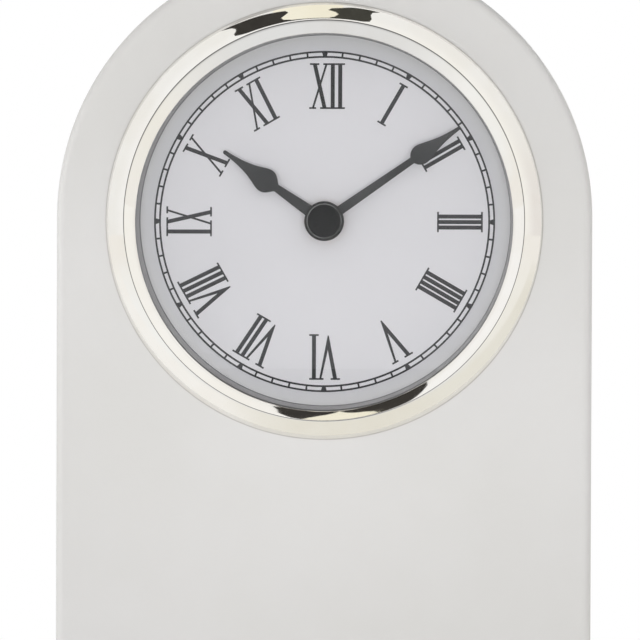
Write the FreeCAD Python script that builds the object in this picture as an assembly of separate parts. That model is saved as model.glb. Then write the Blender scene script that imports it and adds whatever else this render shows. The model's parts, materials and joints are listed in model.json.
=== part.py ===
"""Arched mantel clock (pendulette) with a polished bezel, a Roman dial and a battery quartz movement.

Frame: millimetres, +Z up, the dial faces -Y, +X is to the right of someone reading the dial.
The origin is on the table under the middle of the clock's box.
Depths along the dial axis are counted from the front face of the case, positive towards the back.
Angles round the dial are clock angles: zero at twelve, growing clockwise as the dial is read.
"""

import FreeCAD, Part
import math
import os

Vec = FreeCAD.Vector

# Case
case_width = 145.0
case_height = 200.0
case_depth = 45.0
edge_round = 2.5
front_board_thickness = 9.0
rim_thickness = 9.0
base_thickness = 9.0
panel_ledge = 5.0
panel_thickness = 3.0
panel_recess = 2.0
panel_gap = 0.3
glue_block_leg = 14.0
foot_height = 1.2
foot_length = 26.0
foot_width = 12.0
foot_inset = 5.0
foot_corner = 2.0
dial_drop = 1.0

# Back panel screws and the hatch over the movement
panel_screw_head_radius = 2.4
panel_screw_head_height = 1.4
panel_screw_shank_radius = 1.2
panel_screw_grip = 8.0
panel_screw_edge_gap = 0.5
panel_screw_arch_angle = 30.0
cross_slot_length = 2.6
cross_slot_width = 0.6
cross_slot_depth = 0.7
hatch_opening = 70.0
hatch_corner = 5.0
hatch_overlap = 3.5
hatch_plate = 1.6
hatch_skirt_wall = 1.5
hatch_skirt_reach = 3.0
hatch_clearance = 0.3
hatch_notch_radius = 8.0
hatch_notch_bite = 3.0
hatch_rib_count = 5
hatch_rib_length = 26.0
hatch_rib_width = 1.2
hatch_rib_pitch = 3.2
hatch_rib_height = 0.35
hatch_rib_drop = 12.0

# Bezel, glass and the parts that stack behind them
bezel_margin = 13.7
bezel_proud = 5.2
bezel_skirt = 1.0
bezel_wall = 0.8
bezel_outer_band = 5.0
bezel_inner_band = 3.0
bezel_lip_drop = 1.9
bezel_outer_bulge = 0.22
bezel_inner_bulge = 0.16
bezel_seat = 2.2
bezel_hollow_rise = 1.4
glass_thickness = 2.0
glass_margin = 1.1
gasket_width = 1.0
pan_wall = 0.8
pan_gap = 0.3
pan_floor = 2.0
pan_flange_thickness = 1.4
pan_flange_gap = 0.1
stack_gap = 0.2
sight_ring_wall = 1.2
sight_ring_taper = 0.4
dial_thickness = 0.6
dial_hole_gap = 0.3
clip_width = 9.0
clip_thickness = 1.0
clip_bite = 4.0
clip_rim_gap = 0.5
clip_screw_edge = 4.1
clip_screw_head_radius = 2.4
clip_screw_head_height = 1.2
clip_screw_radius = 1.1
clip_screw_grip = 6.0
clip_count = 4
clip_first_angle = 0.0

# Printing on the dial
ink_thickness = 0.08
dial_margin = 4.03
track_width = 1.78
track_line = 0.42
track_tick = 0.44
track_block_outer = 1.5
track_block_inner = 0.95
minute_count = 60
hour_count = 12
numeral_gap = 1.54
numeral_height = 12.4
stem_width = 1.08
hairline_width = 0.55
serif_height = 0.46
stem_serif = 2.55
hairline_serif = 1.9
x_thick_lean = 1.4
x_thin_lean = 1.9
v_thick_top = 1.95
v_thin_top = 2.2
v_apex_rise = 0.35
v_apex_width = 0.3
# Each numeral: its letters, then as shares of the numeral height the distance from its X or V to the stem
# beside it, the pitch of its stems, the lean of its feet and its shift round the ring.
numeral_shares = [
    ("XII", 0.286, 0.163, 0.0, 0.054), ("I", 0.0, 0.0, 0.0, 0.0), ("II", 0.0, 0.132, 0.0, 0.0),
    ("III", 0.0, 0.12, 0.0, 0.0), ("IIII", 0.0, 0.121, 0.0, 0.008), ("V", 0.0, 0.0, 0.0, 0.0),
    ("VI", 0.313, 0.0, 0.0, -0.016), ("VII", 0.287, 0.14, -0.065, -0.069),
    ("VIII", 0.288, 0.137, -0.069, -0.006), ("IX", 0.322, 0.0, 0.0, -0.002),
    ("X", 0.0, 0.0, -0.054, -0.012), ("XI", 0.319, 0.0, -0.053, 0.031),
]

# Time on the dial
shown_hour = 10
shown_minute = 9.2

# Hands
hand_thickness = 0.4
minute_hand_reach = 0.11
minute_hand_half_width = 2.72
minute_shaft_root = 1.36
minute_shaft_neck = 0.9
minute_tip = 0.45
hour_hand_reach = 2.65
hour_hand_half_width = 3.28
hour_shaft_root = 1.85
hour_shaft_neck = 1.05
hour_tip = 0.55
hand_eye_margin = 1.3
collet_wall = 0.7
collet_length = 1.0
cap_radius = 5.37
cap_face_radius = 4.65
cap_thickness = 1.4
cap_dish = 0.25
cap_rim = 0.5
cap_plug_length = 2.4
# Points of each blade from neck to tip: share of the hand's length, share of its greatest half width.
minute_blade_shares = [
    (0.677, 0.85), (0.711, 1.0), (0.751, 0.875), (0.812, 0.588), (0.872, 0.368), (0.93, 0.25),
]
minute_neck_share = 0.648
hour_blade_shares = [
    (0.509, 0.655), (0.542, 0.91), (0.584, 1.0), (0.636, 0.872), (0.699, 0.619), (0.771, 0.41),
    (0.846, 0.268), (0.919, 0.19),
]
hour_neck_share = 0.476

# Centre stack
bush_radius = 3.5
tube_gap = 0.08
hour_tube_radius = 2.5
hour_tube_wall = 0.85
minute_tube_wall = 0.75
bush_proud = 2.0
nut_across_flats = 9.0
nut_sides = 6
nut_thickness = 1.5
washer_radius = 5.0
washer_thickness = 0.3
rubber_washer_radius = 7.0
rubber_washer_thickness = 0.6
hour_hand_gap = 1.3
minute_hand_gap = 0.8

# Movement
movement_size = 56.0
movement_depth = 16.0
movement_wall = 1.2
movement_corner = 2.0
bay_wall = 1.0
battery_radius = 7.25
battery_can_length = 49.2
battery_nub_radius = 2.75
battery_nub_length = 1.3
battery_gap = 0.25
battery_lift = 0.3
contact_thickness = 0.4
contact_width = 9.0
contact_tab = 6.0
contact_bump_radius = 2.2
cover_gap = 0.15
cover_rib_width = 1.0
cover_rib_height = 0.5
knob_radius = 5.6
knob_height = 3.2
knob_recess = 0.8
knob_notch_count = 18
knob_notch_radius = 0.45
knob_groove = 0.6

# Wheel train: teeth, distances between arbors and levels behind the movement's front face
tooth_addendum_share = 0.72
tooth_dedendum_share = 1.2
tooth_root_share = 0.86
tooth_share = 0.66
tooth_tip_share = 0.3
wheel_thickness = 0.8
minute_pinion_teeth = 12
reduction_wheel_teeth = 36
reduction_pinion_teeth = 10
hour_wheel_teeth = 40
centre_wheel_teeth = 60
third_pinion_teeth = 8
third_wheel_teeth = 64
fourth_pinion_teeth = 8
fourth_wheel_teeth = 40
intermediate_pinion_teeth = 8
intermediate_wheel_teeth = 48
rotor_pinion_teeth = 8
reduction_spacing = 7.5
train_spacing = 7.2
intermediate_spacing = 6.0
rotor_spacing = 5.6
reduction_angle = 45.0
third_angle = 315.0
intermediate_angle = 120.0
rotor_angle = 75.0
hour_level = 1.6
minute_level = 3.1
centre_level = 4.9
plate_level = 6.4
third_level = 7.8
fourth_level = 9.3
intermediate_level = 10.9
plate_thickness = 0.8
arbor_radius = 0.55
pivot_radius = 0.35
pivot_gap = 0.06
pivot_length = 0.6
arbor_end_gap = 0.15
rotor_magnet_radius = 2.6
rotor_magnet_height = 2.4
rotor_air_gap = 0.5
stator_level = 8.6
stator_thickness = 0.8
stator_arm = 3.4
stator_left_width = 7.6
stator_top = 17.0
stator_bottom = 9.6
coil_centre_x = 22.4
coil_core_width = 3.0
coil_core_thickness = 1.0
bobbin_cheek_radius = 3.9
bobbin_cheek_thickness = 1.0
bobbin_wall = 0.5
coil_radius = 3.5
coil_room_gap = 0.3
board_level = 12.4
board_thickness = 0.8
board_width = 25.0
board_height = 8.6
board_corner_gap = 0.4
board_post_radius = 1.1
chip_side = 4.6
chip_height = 0.8
crystal_radius = 1.0
crystal_length = 6.2
overrun = 1.0

# Worked out from the sizes above
arch_radius = case_width / 2
arch_centre_z = case_height - arch_radius
dial_z = arch_centre_z - dial_drop
front_y = bezel_proud - (bezel_proud + case_depth) / 2
panel_front = case_depth - panel_recess - panel_thickness
bezel_radius = arch_radius - bezel_margin
bezel_ridge_radius = bezel_radius - bezel_outer_band
bezel_lip_radius = bezel_ridge_radius - bezel_inner_band
lip_back = bezel_lip_drop + bezel_wall - bezel_proud
glass_radius = bezel_lip_radius + glass_margin
glass_back = lip_back + glass_thickness
dial_back = front_board_thickness - pan_floor
dial_front = dial_back - dial_thickness
sight_ring_radius = bezel_lip_radius + sight_ring_wall
pan_inner_radius = sight_ring_radius + stack_gap
pan_outer_radius = pan_inner_radius + pan_wall
board_hole_radius = pan_outer_radius + pan_gap
clip_end_radius = arch_radius - rim_thickness - dial_drop - clip_rim_gap
clip_screw_ring_radius = clip_end_radius - clip_screw_edge
track_outer_radius = bezel_lip_radius - sight_ring_taper - dial_margin
track_inner_radius = track_outer_radius - track_width
numeral_outer_radius = track_inner_radius - numeral_gap
numeral_foot_radius = numeral_outer_radius - numeral_height
minute_hand_length = track_inner_radius + minute_hand_reach
hour_hand_length = numeral_foot_radius + hour_hand_reach
movement_front = front_board_thickness + rubber_washer_thickness
movement_back = movement_front + movement_depth
bush_front = dial_front - bush_proud
hour_hand_back = bush_front - hour_hand_gap + hand_thickness
hour_hand_front = hour_hand_back - hand_thickness
minute_hand_back = hour_hand_front - minute_hand_gap
minute_hand_front = minute_hand_back - hand_thickness
cap_front = minute_hand_front - cap_thickness
hour_bore_radius = hour_tube_radius - hour_tube_wall
minute_tube_radius = hour_bore_radius - tube_gap
minute_bore_radius = minute_tube_radius - minute_tube_wall
minute_angle = 360.0 / minute_count * shown_minute
hour_angle = 360.0 / hour_count * (shown_hour + shown_minute / minute_count)
gear_floor = movement_front + movement_wall
gear_roof = movement_back - movement_wall
bay_top = battery_gap + battery_radius
bay_centre_drop = movement_size / 2 - movement_wall - bay_top
bay_roof_drop = bay_centre_drop - bay_top
cover_bottom_drop = bay_roof_drop - bay_wall


def place(angle, radius):
    """A point round the dial axis as (x, z above the dial centre)."""
    turn = math.radians(angle)
    return radius * math.sin(turn), radius * math.cos(turn)


def point(x, depth, up):
    """A point from its x, its depth behind the case front and its height above the dial centre."""
    return Vec(x, front_y + depth, dial_z + up)


def rod(radius, depth_a, depth_b, centre=(0, 0)):
    """A cylinder along the dial axis between two depths."""
    return Part.makeCylinder(radius, depth_b - depth_a, point(centre[0], depth_a, centre[1]), Vec(0, 1, 0))


def ring(outer, inner, depth_a, depth_b, centre=(0, 0)):
    """A tube along the dial axis between two depths."""
    hole = rod(inner, depth_a - overrun, depth_b + overrun, centre)
    return rod(outer, depth_a, depth_b, centre).cut(hole)


def block(x_a, x_b, depth_a, depth_b, up_a, up_b):
    """A box between two x values, two depths and two heights above the dial centre."""
    return Part.makeBox(x_b - x_a, depth_b - depth_a, up_b - up_a, point(x_a, depth_a, up_a))


def plate(outline, depth_a, depth_b):
    """A flat piece with a polygon outline of (x, height above the dial centre)."""
    corners = [point(x, depth_a, up) for x, up in outline]
    face = Part.Face(Part.makePolygon(corners + corners[:1]))
    return face.extrude(Vec(0, depth_b - depth_a, 0))


def turned(profile):
    """A solid of revolution about the dial axis from wire edges in the plane x, depth."""
    face = Part.Face(Part.Wire(profile))
    return face.revolve(point(0, 0, 0), Vec(0, 1, 0), 360)


def line(a, b):
    """A straight edge between two (radius, depth) points."""
    return Part.LineSegment(point(a[0], a[1], 0), point(b[0], b[1], 0)).toShape()


def bowed(a, b, bulge):
    """An arc between two (radius, depth) points that stands out to the front and side by the bulge."""
    run, rise = b[0] - a[0], b[1] - a[1]
    length = math.hypot(run, rise)
    middle = ((a[0] + b[0]) / 2 - bulge * rise / length, (a[1] + b[1]) / 2 + bulge * run / length)
    return Part.Arc(point(a[0], a[1], 0), point(middle[0], middle[1], 0), point(b[0], b[1], 0)).toShape()


def joined(shapes):
    """One solid from pieces that touch or overlap."""
    return shapes[0].multiFuse(shapes[1:]).removeSplitter()


def rounded_block(width, height, corner, depth_a, depth_b, centre=(0, 0)):
    """A box along the dial axis with rounded upright corners."""
    x, up = centre
    solid = block(x - width / 2, x + width / 2, depth_a, depth_b, up - height / 2, up + height / 2)
    along = [e for e in solid.Edges if abs(e.Vertexes[0].X - e.Vertexes[1].X) < corner
             and abs(e.Vertexes[0].Z - e.Vertexes[1].Z) < corner]
    return solid.makeFillet(corner, along)


def arch_prism(inset, bottom_z, depth_a, depth_b):
    """The arched outline of the case, taken in by the inset, between two depths."""
    half = arch_radius - inset
    y = front_y + depth_a
    left_foot, right_foot = Vec(-half, y, bottom_z), Vec(half, y, bottom_z)
    left_spring, right_spring = Vec(-half, y, arch_centre_z), Vec(half, y, arch_centre_z)
    crown = Vec(0, y, arch_centre_z + half)
    edges = [
        Part.LineSegment(left_foot, left_spring).toShape(),
        Part.Arc(left_spring, crown, right_spring).toShape(),
        Part.LineSegment(right_spring, right_foot).toShape(),
        Part.LineSegment(right_foot, left_foot).toShape(),
    ]
    return Part.Face(Part.Wire(edges)).extrude(Vec(0, depth_b - depth_a, 0))


# Case pieces


def front_board():
    """Front board with its outer front edges rounded and a bored seat for the dial pan."""
    board = arch_prism(0, foot_height, 0, front_board_thickness)
    front = [e for e in board.Edges if all(abs(v.Y - front_y) < edge_round / 2 for v in e.Vertexes)]
    board = board.makeFillet(edge_round, front)
    return board.cut(rod(board_hole_radius, -overrun, front_board_thickness + overrun))


def panel_rebate():
    """The space that the back panel and its recess take out of the rim and base."""
    inset = rim_thickness - panel_ledge
    bottom = foot_height + base_thickness - panel_ledge
    return arch_prism(inset, bottom, panel_front, case_depth + overrun)


def arch_rim():
    """Bent side wall behind the front board, open at the bottom, rebated for the back panel."""
    outside = arch_prism(0, foot_height, front_board_thickness, case_depth)
    inside = arch_prism(rim_thickness, foot_height - overrun, front_board_thickness - overrun,
                        case_depth + overrun)
    rim = outside.cut(inside).cut(panel_rebate())
    return rim.cut(shanks(panel_screw_places(), panel_screw_shank_radius, panel_front - panel_screw_grip,
                          panel_front))


def base_board():
    """Bottom board between the legs of the rim."""
    half = arch_radius - rim_thickness
    low = foot_height - dial_z
    board = block(-half, half, front_board_thickness, case_depth, low, low + base_thickness)
    board = board.cut(panel_rebate())
    return board.cut(shanks(panel_screw_places(), panel_screw_shank_radius, panel_front - panel_screw_grip,
                            panel_front))


def glue_blocks():
    """Three-cornered blocks glued into the two lower corners behind the front board."""
    side = arch_radius - rim_thickness
    low = foot_height + base_thickness - dial_z
    blocks = []
    for hand in (-1, 1):
        corner = hand * side
        outline = [(corner, low), (corner - hand * glue_block_leg, low), (corner, low + glue_block_leg)]
        blocks.append(plate(outline, front_board_thickness, panel_front))
    return Part.makeCompound(blocks)


def panel_screw_places():
    """Six places round the ledge: two in the base, two low in the sides, two in the arch."""
    inward = panel_screw_head_radius + panel_screw_edge_gap
    line_radius = arch_radius - rim_thickness + panel_ledge - inward
    arch_up = arch_centre_z - dial_z
    low = foot_height + base_thickness - panel_ledge + inward - dial_z
    base_x = line_radius / 2
    crown = [(x, up + arch_up) for x, up in (place(hand * panel_screw_arch_angle, line_radius)
                                             for hand in (-1, 1))]
    sides = [(-line_radius, arch_up / 2 + low / 2), (line_radius, arch_up / 2 + low / 2)]
    return [(-base_x, low), (base_x, low)] + sides + crown


def shanks(places, radius, depth_a, depth_b):
    """Shank cylinders at several places, to cut the holes that the screws fill."""
    return Part.makeCompound([rod(radius, depth_a, depth_b, spot) for spot in places])


def back_panel():
    """Painted board in the rebate, with the opening for the hatch."""
    inset = rim_thickness - panel_ledge + panel_gap
    bottom = foot_height + base_thickness - panel_ledge + panel_gap
    panel = arch_prism(inset, bottom, panel_front, panel_front + panel_thickness)
    hole = rounded_block(hatch_opening, hatch_opening, hatch_corner, panel_front - overrun,
                         case_depth + overrun)
    holes = shanks(panel_screw_places(), panel_screw_shank_radius, panel_front - overrun, case_depth)
    return panel.cut(hole).cut(holes)


def cross_slot(top, centre):
    """The crossed driver slot in a screw head whose outer face is at the given depth."""
    x, up = centre
    bottom = top - cross_slot_depth
    across, thin = cross_slot_length / 2, cross_slot_width / 2
    bars = [block(x - across, x + across, bottom, top, up - thin, up + thin),
            block(x - thin, x + thin, bottom, top, up - across, up + across)]
    return joined(bars)


def pan_head_screw(centre, seat, head_radius, head_height, shank_radius, grip):
    """A pan-head screw driven towards the front: seat is the depth of the face under its head."""
    head = rod(head_radius, seat, seat + head_height, centre)
    rear = [e for e in head.Edges if all(v.Y > front_y + seat + head_height / 2 for v in e.Vertexes)]
    head = head.makeFillet(head_height / 2, rear)
    screw = joined([head, rod(shank_radius, seat - grip, seat, centre)])
    return screw.cut(cross_slot(seat + head_height, centre))


def back_panel_screws():
    """Six pan-head screws whose shanks go through the panel into the ledge."""
    seat = panel_front + panel_thickness
    return Part.makeCompound([
        pan_head_screw(spot, seat, panel_screw_head_radius, panel_screw_head_height,
                       panel_screw_shank_radius, panel_thickness + panel_screw_grip)
        for spot in panel_screw_places()])


def battery_hatch():
    """Moulded cover that presses into the panel's opening, with a finger notch and grip ribs."""
    seat = panel_front + panel_thickness
    flange_side = hatch_opening + 2 * hatch_overlap
    skirt_side = hatch_opening - 2 * hatch_clearance
    inner_side = skirt_side - 2 * hatch_skirt_wall
    skirt_front = panel_front - hatch_skirt_reach
    flange = rounded_block(flange_side, flange_side, hatch_corner + hatch_overlap, seat, seat + hatch_plate)
    skirt = rounded_block(skirt_side, skirt_side, hatch_corner - hatch_clearance, skirt_front, seat)
    hollow = rounded_block(inner_side, inner_side, hatch_corner - hatch_clearance - hatch_skirt_wall,
                           skirt_front - overrun, seat)
    notch_centre = (0, flange_side / 2 + hatch_notch_radius - hatch_notch_bite)
    notch = rod(hatch_notch_radius, seat - overrun, seat + hatch_plate + overrun, notch_centre)
    ribs = []
    for row in range(hatch_rib_count):
        up = flange_side / 2 - hatch_rib_drop - row * hatch_rib_pitch
        ribs.append(block(-hatch_rib_length / 2, hatch_rib_length / 2, seat + hatch_plate,
                          seat + hatch_plate + hatch_rib_height, up - hatch_rib_width, up))
    return joined([flange.cut(notch), skirt.cut(hollow)] + ribs)


def foot_pads():
    """Four pads under the corners of the case."""
    span_y = case_depth - 2 * foot_inset
    pads = []
    for hand in (-1, 1):
        for row in (0, 1):
            x = hand * (arch_radius - foot_inset - foot_length / 2)
            y = front_y + foot_inset + foot_width / 2 + row * (span_y - foot_width)
            pad = Part.makeBox(foot_length, foot_width, foot_height,
                               Vec(x - foot_length / 2, y - foot_width / 2, 0))
            upright = [e for e in pad.Edges if abs(e.Vertexes[0].Z - e.Vertexes[1].Z) > foot_height / 2]
            pads.append(pad.makeFillet(foot_corner, upright))
    return Part.makeCompound(pads)


# Bezel, glass and dial pieces


def bezel():
    """Thin polished ring: a bowed outer band, a ridge, a bowed inner band and a lip over the glass."""
    ridge = (bezel_ridge_radius, -bezel_proud)
    lip = (bezel_lip_radius, bezel_lip_drop - bezel_proud)
    skirt_top = (bezel_radius, -bezel_skirt)
    foot = (bezel_radius, 0)
    lip_under = (bezel_lip_radius, lip_back)
    seat_end = (bezel_lip_radius + bezel_seat, lip_back)
    hollow_top = (bezel_ridge_radius, lip_back - bezel_hollow_rise)
    inner_skirt = (bezel_radius - bezel_wall, -bezel_skirt + bezel_wall / 2)
    inner_foot = (bezel_radius - bezel_wall, 0)
    return turned([
        line(foot, skirt_top), bowed(skirt_top, ridge, bezel_outer_bulge),
        bowed(ridge, lip, bezel_inner_bulge), line(lip, lip_under), line(lip_under, seat_end),
        line(seat_end, hollow_top),
        line(hollow_top, inner_skirt), line(inner_skirt, inner_foot), line(inner_foot, foot)])


def dial_glass():
    """Flat glass under the bezel's lip."""
    return rod(glass_radius, lip_back, glass_back)


def glass_gasket():
    """Soft ring round the edge of the glass, between the bezel's seat and the pan's flange."""
    return ring(glass_radius + gasket_width, glass_radius, lip_back, -pan_flange_thickness)


def sight_ring():
    """Spacer wall between the glass and the dial, closing in a little towards the dial."""
    corners = [(bezel_lip_radius, glass_back), (sight_ring_radius, glass_back),
               (sight_ring_radius, dial_front), (bezel_lip_radius - sight_ring_taper, dial_front)]
    return turned([line(a, b) for a, b in zip(corners, corners[1:] + corners[:1])])


def dial_plate():
    """Thin metal dial with a clearance hole for the bush."""
    return ring(sight_ring_radius, bush_radius + dial_hole_gap, dial_front, dial_back)


def dial_pan():
    """Moulded pan that holds the dial stack in the board, with a flange that carries the bezel."""
    flange_radius = bezel_radius - bezel_wall - pan_flange_gap
    chamfer = pan_flange_thickness - bezel_skirt + bezel_wall
    wall = ring(pan_outer_radius, pan_inner_radius, 0, front_board_thickness)
    floor = ring(pan_outer_radius, bush_radius + dial_hole_gap, dial_back, front_board_thickness)
    corners = [(pan_inner_radius, 0), (flange_radius, 0), (flange_radius, chamfer - pan_flange_thickness),
               (flange_radius - chamfer, -pan_flange_thickness), (pan_inner_radius, -pan_flange_thickness)]
    flange = turned([line(a, b) for a, b in zip(corners, corners[1:] + corners[:1])])
    return joined([flange, wall, floor])


def clip_places():
    """Clock angles of the clips round the pan."""
    return [clip_first_angle + i * 360.0 / clip_count for i in range(clip_count)]


def turned_about_dial(shape, angle):
    """A copy of a shape turned clockwise about the dial axis."""
    copy = shape.copy()
    copy.rotate(point(0, 0, 0), Vec(0, 1, 0), angle)
    return copy


def pan_clips():
    """Flat steel clips that lap the pan's floor and are screwed to the back of the board."""
    low = pan_outer_radius - clip_bite
    front, back = front_board_thickness, front_board_thickness + clip_thickness
    clip = block(-clip_width / 2, clip_width / 2, front, back, low, clip_end_radius)
    hole_centre = (0, clip_screw_ring_radius)
    clip = clip.cut(rod(clip_screw_radius, front - overrun, back + overrun, hole_centre))
    return Part.makeCompound([turned_about_dial(clip, angle) for angle in clip_places()])


def clip_screw_spots():
    """Places of the clip screws round the pan."""
    return [place(angle, clip_screw_ring_radius) for angle in clip_places()]


def pan_clip_screws():
    """One pan-head screw through each clip."""
    seat = front_board_thickness + clip_thickness
    grip = clip_thickness + clip_screw_grip
    screw = pan_head_screw((0, clip_screw_ring_radius), seat, clip_screw_head_radius,
                           clip_screw_head_height, clip_screw_radius, grip)
    return Part.makeCompound([turned_about_dial(screw, angle) for angle in clip_places()])


# Printing


def sector_window(index):
    """The bare cell of the minute track between one minute mark and the next."""
    outer = track_outer_radius - track_line
    inner = track_inner_radius + track_line

    def half_widths(mark):
        if mark % (minute_count // hour_count) == 0:
            return track_block_inner / 2, track_block_outer / 2
        return track_tick / 2, track_tick / 2

    step = 360.0 / minute_count
    start_in, start_out = half_widths(index)
    end_in, end_out = half_widths(index + 1)
    a_in = index * step + math.degrees(math.asin(start_in / inner))
    a_out = index * step + math.degrees(math.asin(start_out / outer))
    b_in = (index + 1) * step - math.degrees(math.asin(end_in / inner))
    b_out = (index + 1) * step - math.degrees(math.asin(end_out / outer))

    def spot(angle, radius):
        x, up = place(angle, radius)
        return point(x, dial_front - ink_thickness - overrun, up)

    edges = [
        Part.Arc(spot(a_in, inner), spot((a_in + b_in) / 2, inner), spot(b_in, inner)).toShape(),
        Part.LineSegment(spot(b_in, inner), spot(b_out, outer)).toShape(),
        Part.Arc(spot(b_out, outer), spot((a_out + b_out) / 2, outer), spot(a_out, outer)).toShape(),
        Part.LineSegment(spot(a_out, outer), spot(a_in, inner)).toShape(),
    ]
    return Part.Face(Part.Wire(edges)).extrude(Vec(0, ink_thickness + 2 * overrun, 0))


def minute_track():
    """Railway minute track: two rings tied by sixty marks, with a broad wedge at each hour."""
    band = ring(track_outer_radius, track_inner_radius, dial_front - ink_thickness, dial_front)
    return band.cut(Part.makeCompound([sector_window(i) for i in range(minute_count)]))


def stroke(foot_x, head_x, width):
    """Outline of a leaning stroke of a numeral, from its foot to its head."""
    half = width / 2
    return [(foot_x - half, 0), (foot_x + half, 0),
            (head_x + half, numeral_height), (head_x - half, numeral_height)]


def serif(centre_x, length, at_head):
    """Outline of a flat serif at the foot or the head of a numeral."""
    low = numeral_height - serif_height if at_head else 0
    left, right = centre_x - length / 2, centre_x + length / 2
    return [(left, low), (right, low), (right, low + serif_height), (left, low + serif_height)]


def letter_i(x, lean):
    """Outlines of a stem whose head is at x."""
    return [stroke(x + lean, x, stem_width), serif(x + lean, stem_serif, False), serif(x, stem_serif, True)]


def letter_x(x, lean):
    """Outlines of a cross: a broad stroke down to the right and a hairline up to the right."""
    foot = x + lean
    return [
        stroke(foot + x_thick_lean, x - x_thick_lean, stem_width),
        stroke(foot - x_thin_lean, x + x_thin_lean, hairline_width),
        serif(foot - x_thin_lean, hairline_serif, False), serif(x + x_thin_lean, hairline_serif, True),
        serif(foot + x_thick_lean, stem_serif, False), serif(x - x_thick_lean, stem_serif, True)]


def letter_v(x):
    """Outlines of a V: a broad and a fine leg that meet in a blunt point at the foot."""
    left, right = x - v_thick_top - stem_width / 2, x + v_thin_top + hairline_width / 2
    rise = numeral_height - v_apex_rise
    fork_share = (stem_width + hairline_width) / (right - left)
    fork_x = x - v_apex_width / 2 + (left - x) * fork_share + stem_width
    legs = [
        (x - v_apex_width / 2, v_apex_rise), (x + v_apex_width / 2, v_apex_rise), (right, numeral_height),
        (right - hairline_width, numeral_height), (fork_x, v_apex_rise + rise * fork_share),
        (left + stem_width, numeral_height), (left, numeral_height)]
    return [legs, serif(x - v_thick_top, stem_serif, True), serif(x + v_thin_top, hairline_serif, True)]


def letter_outlines(letter, x, lean):
    """Outlines of one letter of a numeral whose head is at x."""
    if letter == "I":
        return letter_i(x, lean)
    if letter == "X":
        return letter_x(x, lean)
    return letter_v(x)


def numeral_outlines(letters, gap, pitch, lean):
    """Outlines of all strokes of a numeral, centred by its head."""
    heads = [0.0]
    for pair in zip(letters, letters[1:]):
        heads.append(heads[-1] + (pitch if pair == ("I", "I") else gap))
    outlines = []
    for letter, x in zip(letters, heads):
        outlines += letter_outlines(letter, x, lean)
    head_xs = [x for outline in outlines for x, up in outline if up == numeral_height]
    middle = (min(head_xs) + max(head_xs)) / 2
    return [[(x - middle, up) for x, up in outline] for outline in outlines]


def numeral(hour, letters, shares):
    """One hour numeral with its feet towards the centre of the dial."""
    gap, pitch, lean, shift = [share * numeral_height for share in shares]
    pieces = []
    for outline in numeral_outlines(letters, gap, pitch, lean):
        placed = [(x + shift, up + numeral_foot_radius) for x, up in outline]
        pieces.append(plate(placed, dial_front - ink_thickness, dial_front))
    return turned_about_dial(joined(pieces), hour * 360.0 / hour_count)


def roman_numerals():
    """The twelve hour numerals."""
    return Part.makeCompound([numeral(hour, row[0], row[1:]) for hour, row in enumerate(numeral_shares)])


# Hands


def blade(length, half_width, root, neck, tip, neck_share, shares, eye_radius, bore_radius, depth_a, depth_b):
    """A pear-shaped hand pointing at twelve: tapered shaft, swelling blade, rounded tip and an eye."""
    side = [(neck, neck_share * length)] + [(w * half_width, r * length) for r, w in shares]
    side.append((tip, length - tip))
    right = [point(x, depth_a, up) for x, up in side]
    left = [point(-x, depth_a, up) for x, up in side]
    right_curve, left_curve = Part.BSplineCurve(), Part.BSplineCurve()
    right_curve.interpolate(right)
    left_curve.interpolate(left[::-1])
    right_root, left_root = point(root, depth_a, 0), point(-root, depth_a, 0)
    edges = [
        Part.LineSegment(right_root, right[0]).toShape(), right_curve.toShape(),
        Part.Arc(right[-1], point(0, depth_a, length), left[-1]).toShape(), left_curve.toShape(),
        Part.LineSegment(left[0], left_root).toShape(), Part.LineSegment(left_root, right_root).toShape()]
    flat = Part.Face(Part.Wire(edges)).extrude(Vec(0, depth_b - depth_a, 0))
    hand = joined([flat, rod(eye_radius, depth_a, depth_b)])
    return hand.cut(rod(bore_radius, depth_a - overrun, depth_b + overrun))


def hour_hand():
    """Short hand on the hour tube."""
    hand = blade(hour_hand_length, hour_hand_half_width, hour_shaft_root, hour_shaft_neck, hour_tip,
                 hour_neck_share, hour_blade_shares, hour_tube_radius + hand_eye_margin, hour_tube_radius,
                 hour_hand_front, hour_hand_back)
    return turned_about_dial(hand, hour_angle)


def minute_hand():
    """Long hand on the minute tube."""
    hand = blade(minute_hand_length, minute_hand_half_width, minute_shaft_root, minute_shaft_neck, minute_tip,
                 minute_neck_share, minute_blade_shares, minute_tube_radius + hand_eye_margin,
                 minute_tube_radius, minute_hand_front, minute_hand_back)
    return turned_about_dial(hand, minute_angle)


def hour_collet():
    """Brass collar under the hour hand, pressed on the hour tube."""
    back = min(hour_hand_back + collet_length, bush_front - tube_gap)
    return ring(hour_tube_radius + collet_wall, hour_tube_radius, hour_hand_back, back)


def minute_collet():
    """Brass collar under the minute hand, pressed on the minute tube."""
    back = min(minute_hand_back + collet_length, hour_hand_front - tube_gap)
    return ring(minute_tube_radius + collet_wall, minute_tube_radius, minute_hand_back, back)


def hand_cap():
    """Black cap with a chamfered rim and a dished face, plugged into the minute tube."""
    shoulder = minute_hand_front - cap_thickness / 2
    corners = [(0, minute_hand_front), (cap_radius, minute_hand_front), (cap_radius, shoulder),
               (cap_face_radius, cap_front), (0, cap_front)]
    disc = turned([line(a, b) for a, b in zip(corners, corners[1:] + corners[:1])])
    dish_edge = cap_face_radius - cap_rim
    dish_radius = (dish_edge ** 2 + cap_dish ** 2) / (2 * cap_dish)
    disc = disc.cut(Part.makeSphere(dish_radius, point(0, cap_front + cap_dish - dish_radius, 0)))
    plug = rod(minute_bore_radius, minute_hand_front, minute_hand_front + cap_plug_length)
    return joined([disc, plug])


# Centre fixing


def centre_bush():
    """Threaded brass bush, moulded into the housing, that clamps the dial and carries the hour tube."""
    return ring(bush_radius, hour_tube_radius + tube_gap, bush_front, gear_floor)


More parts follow.
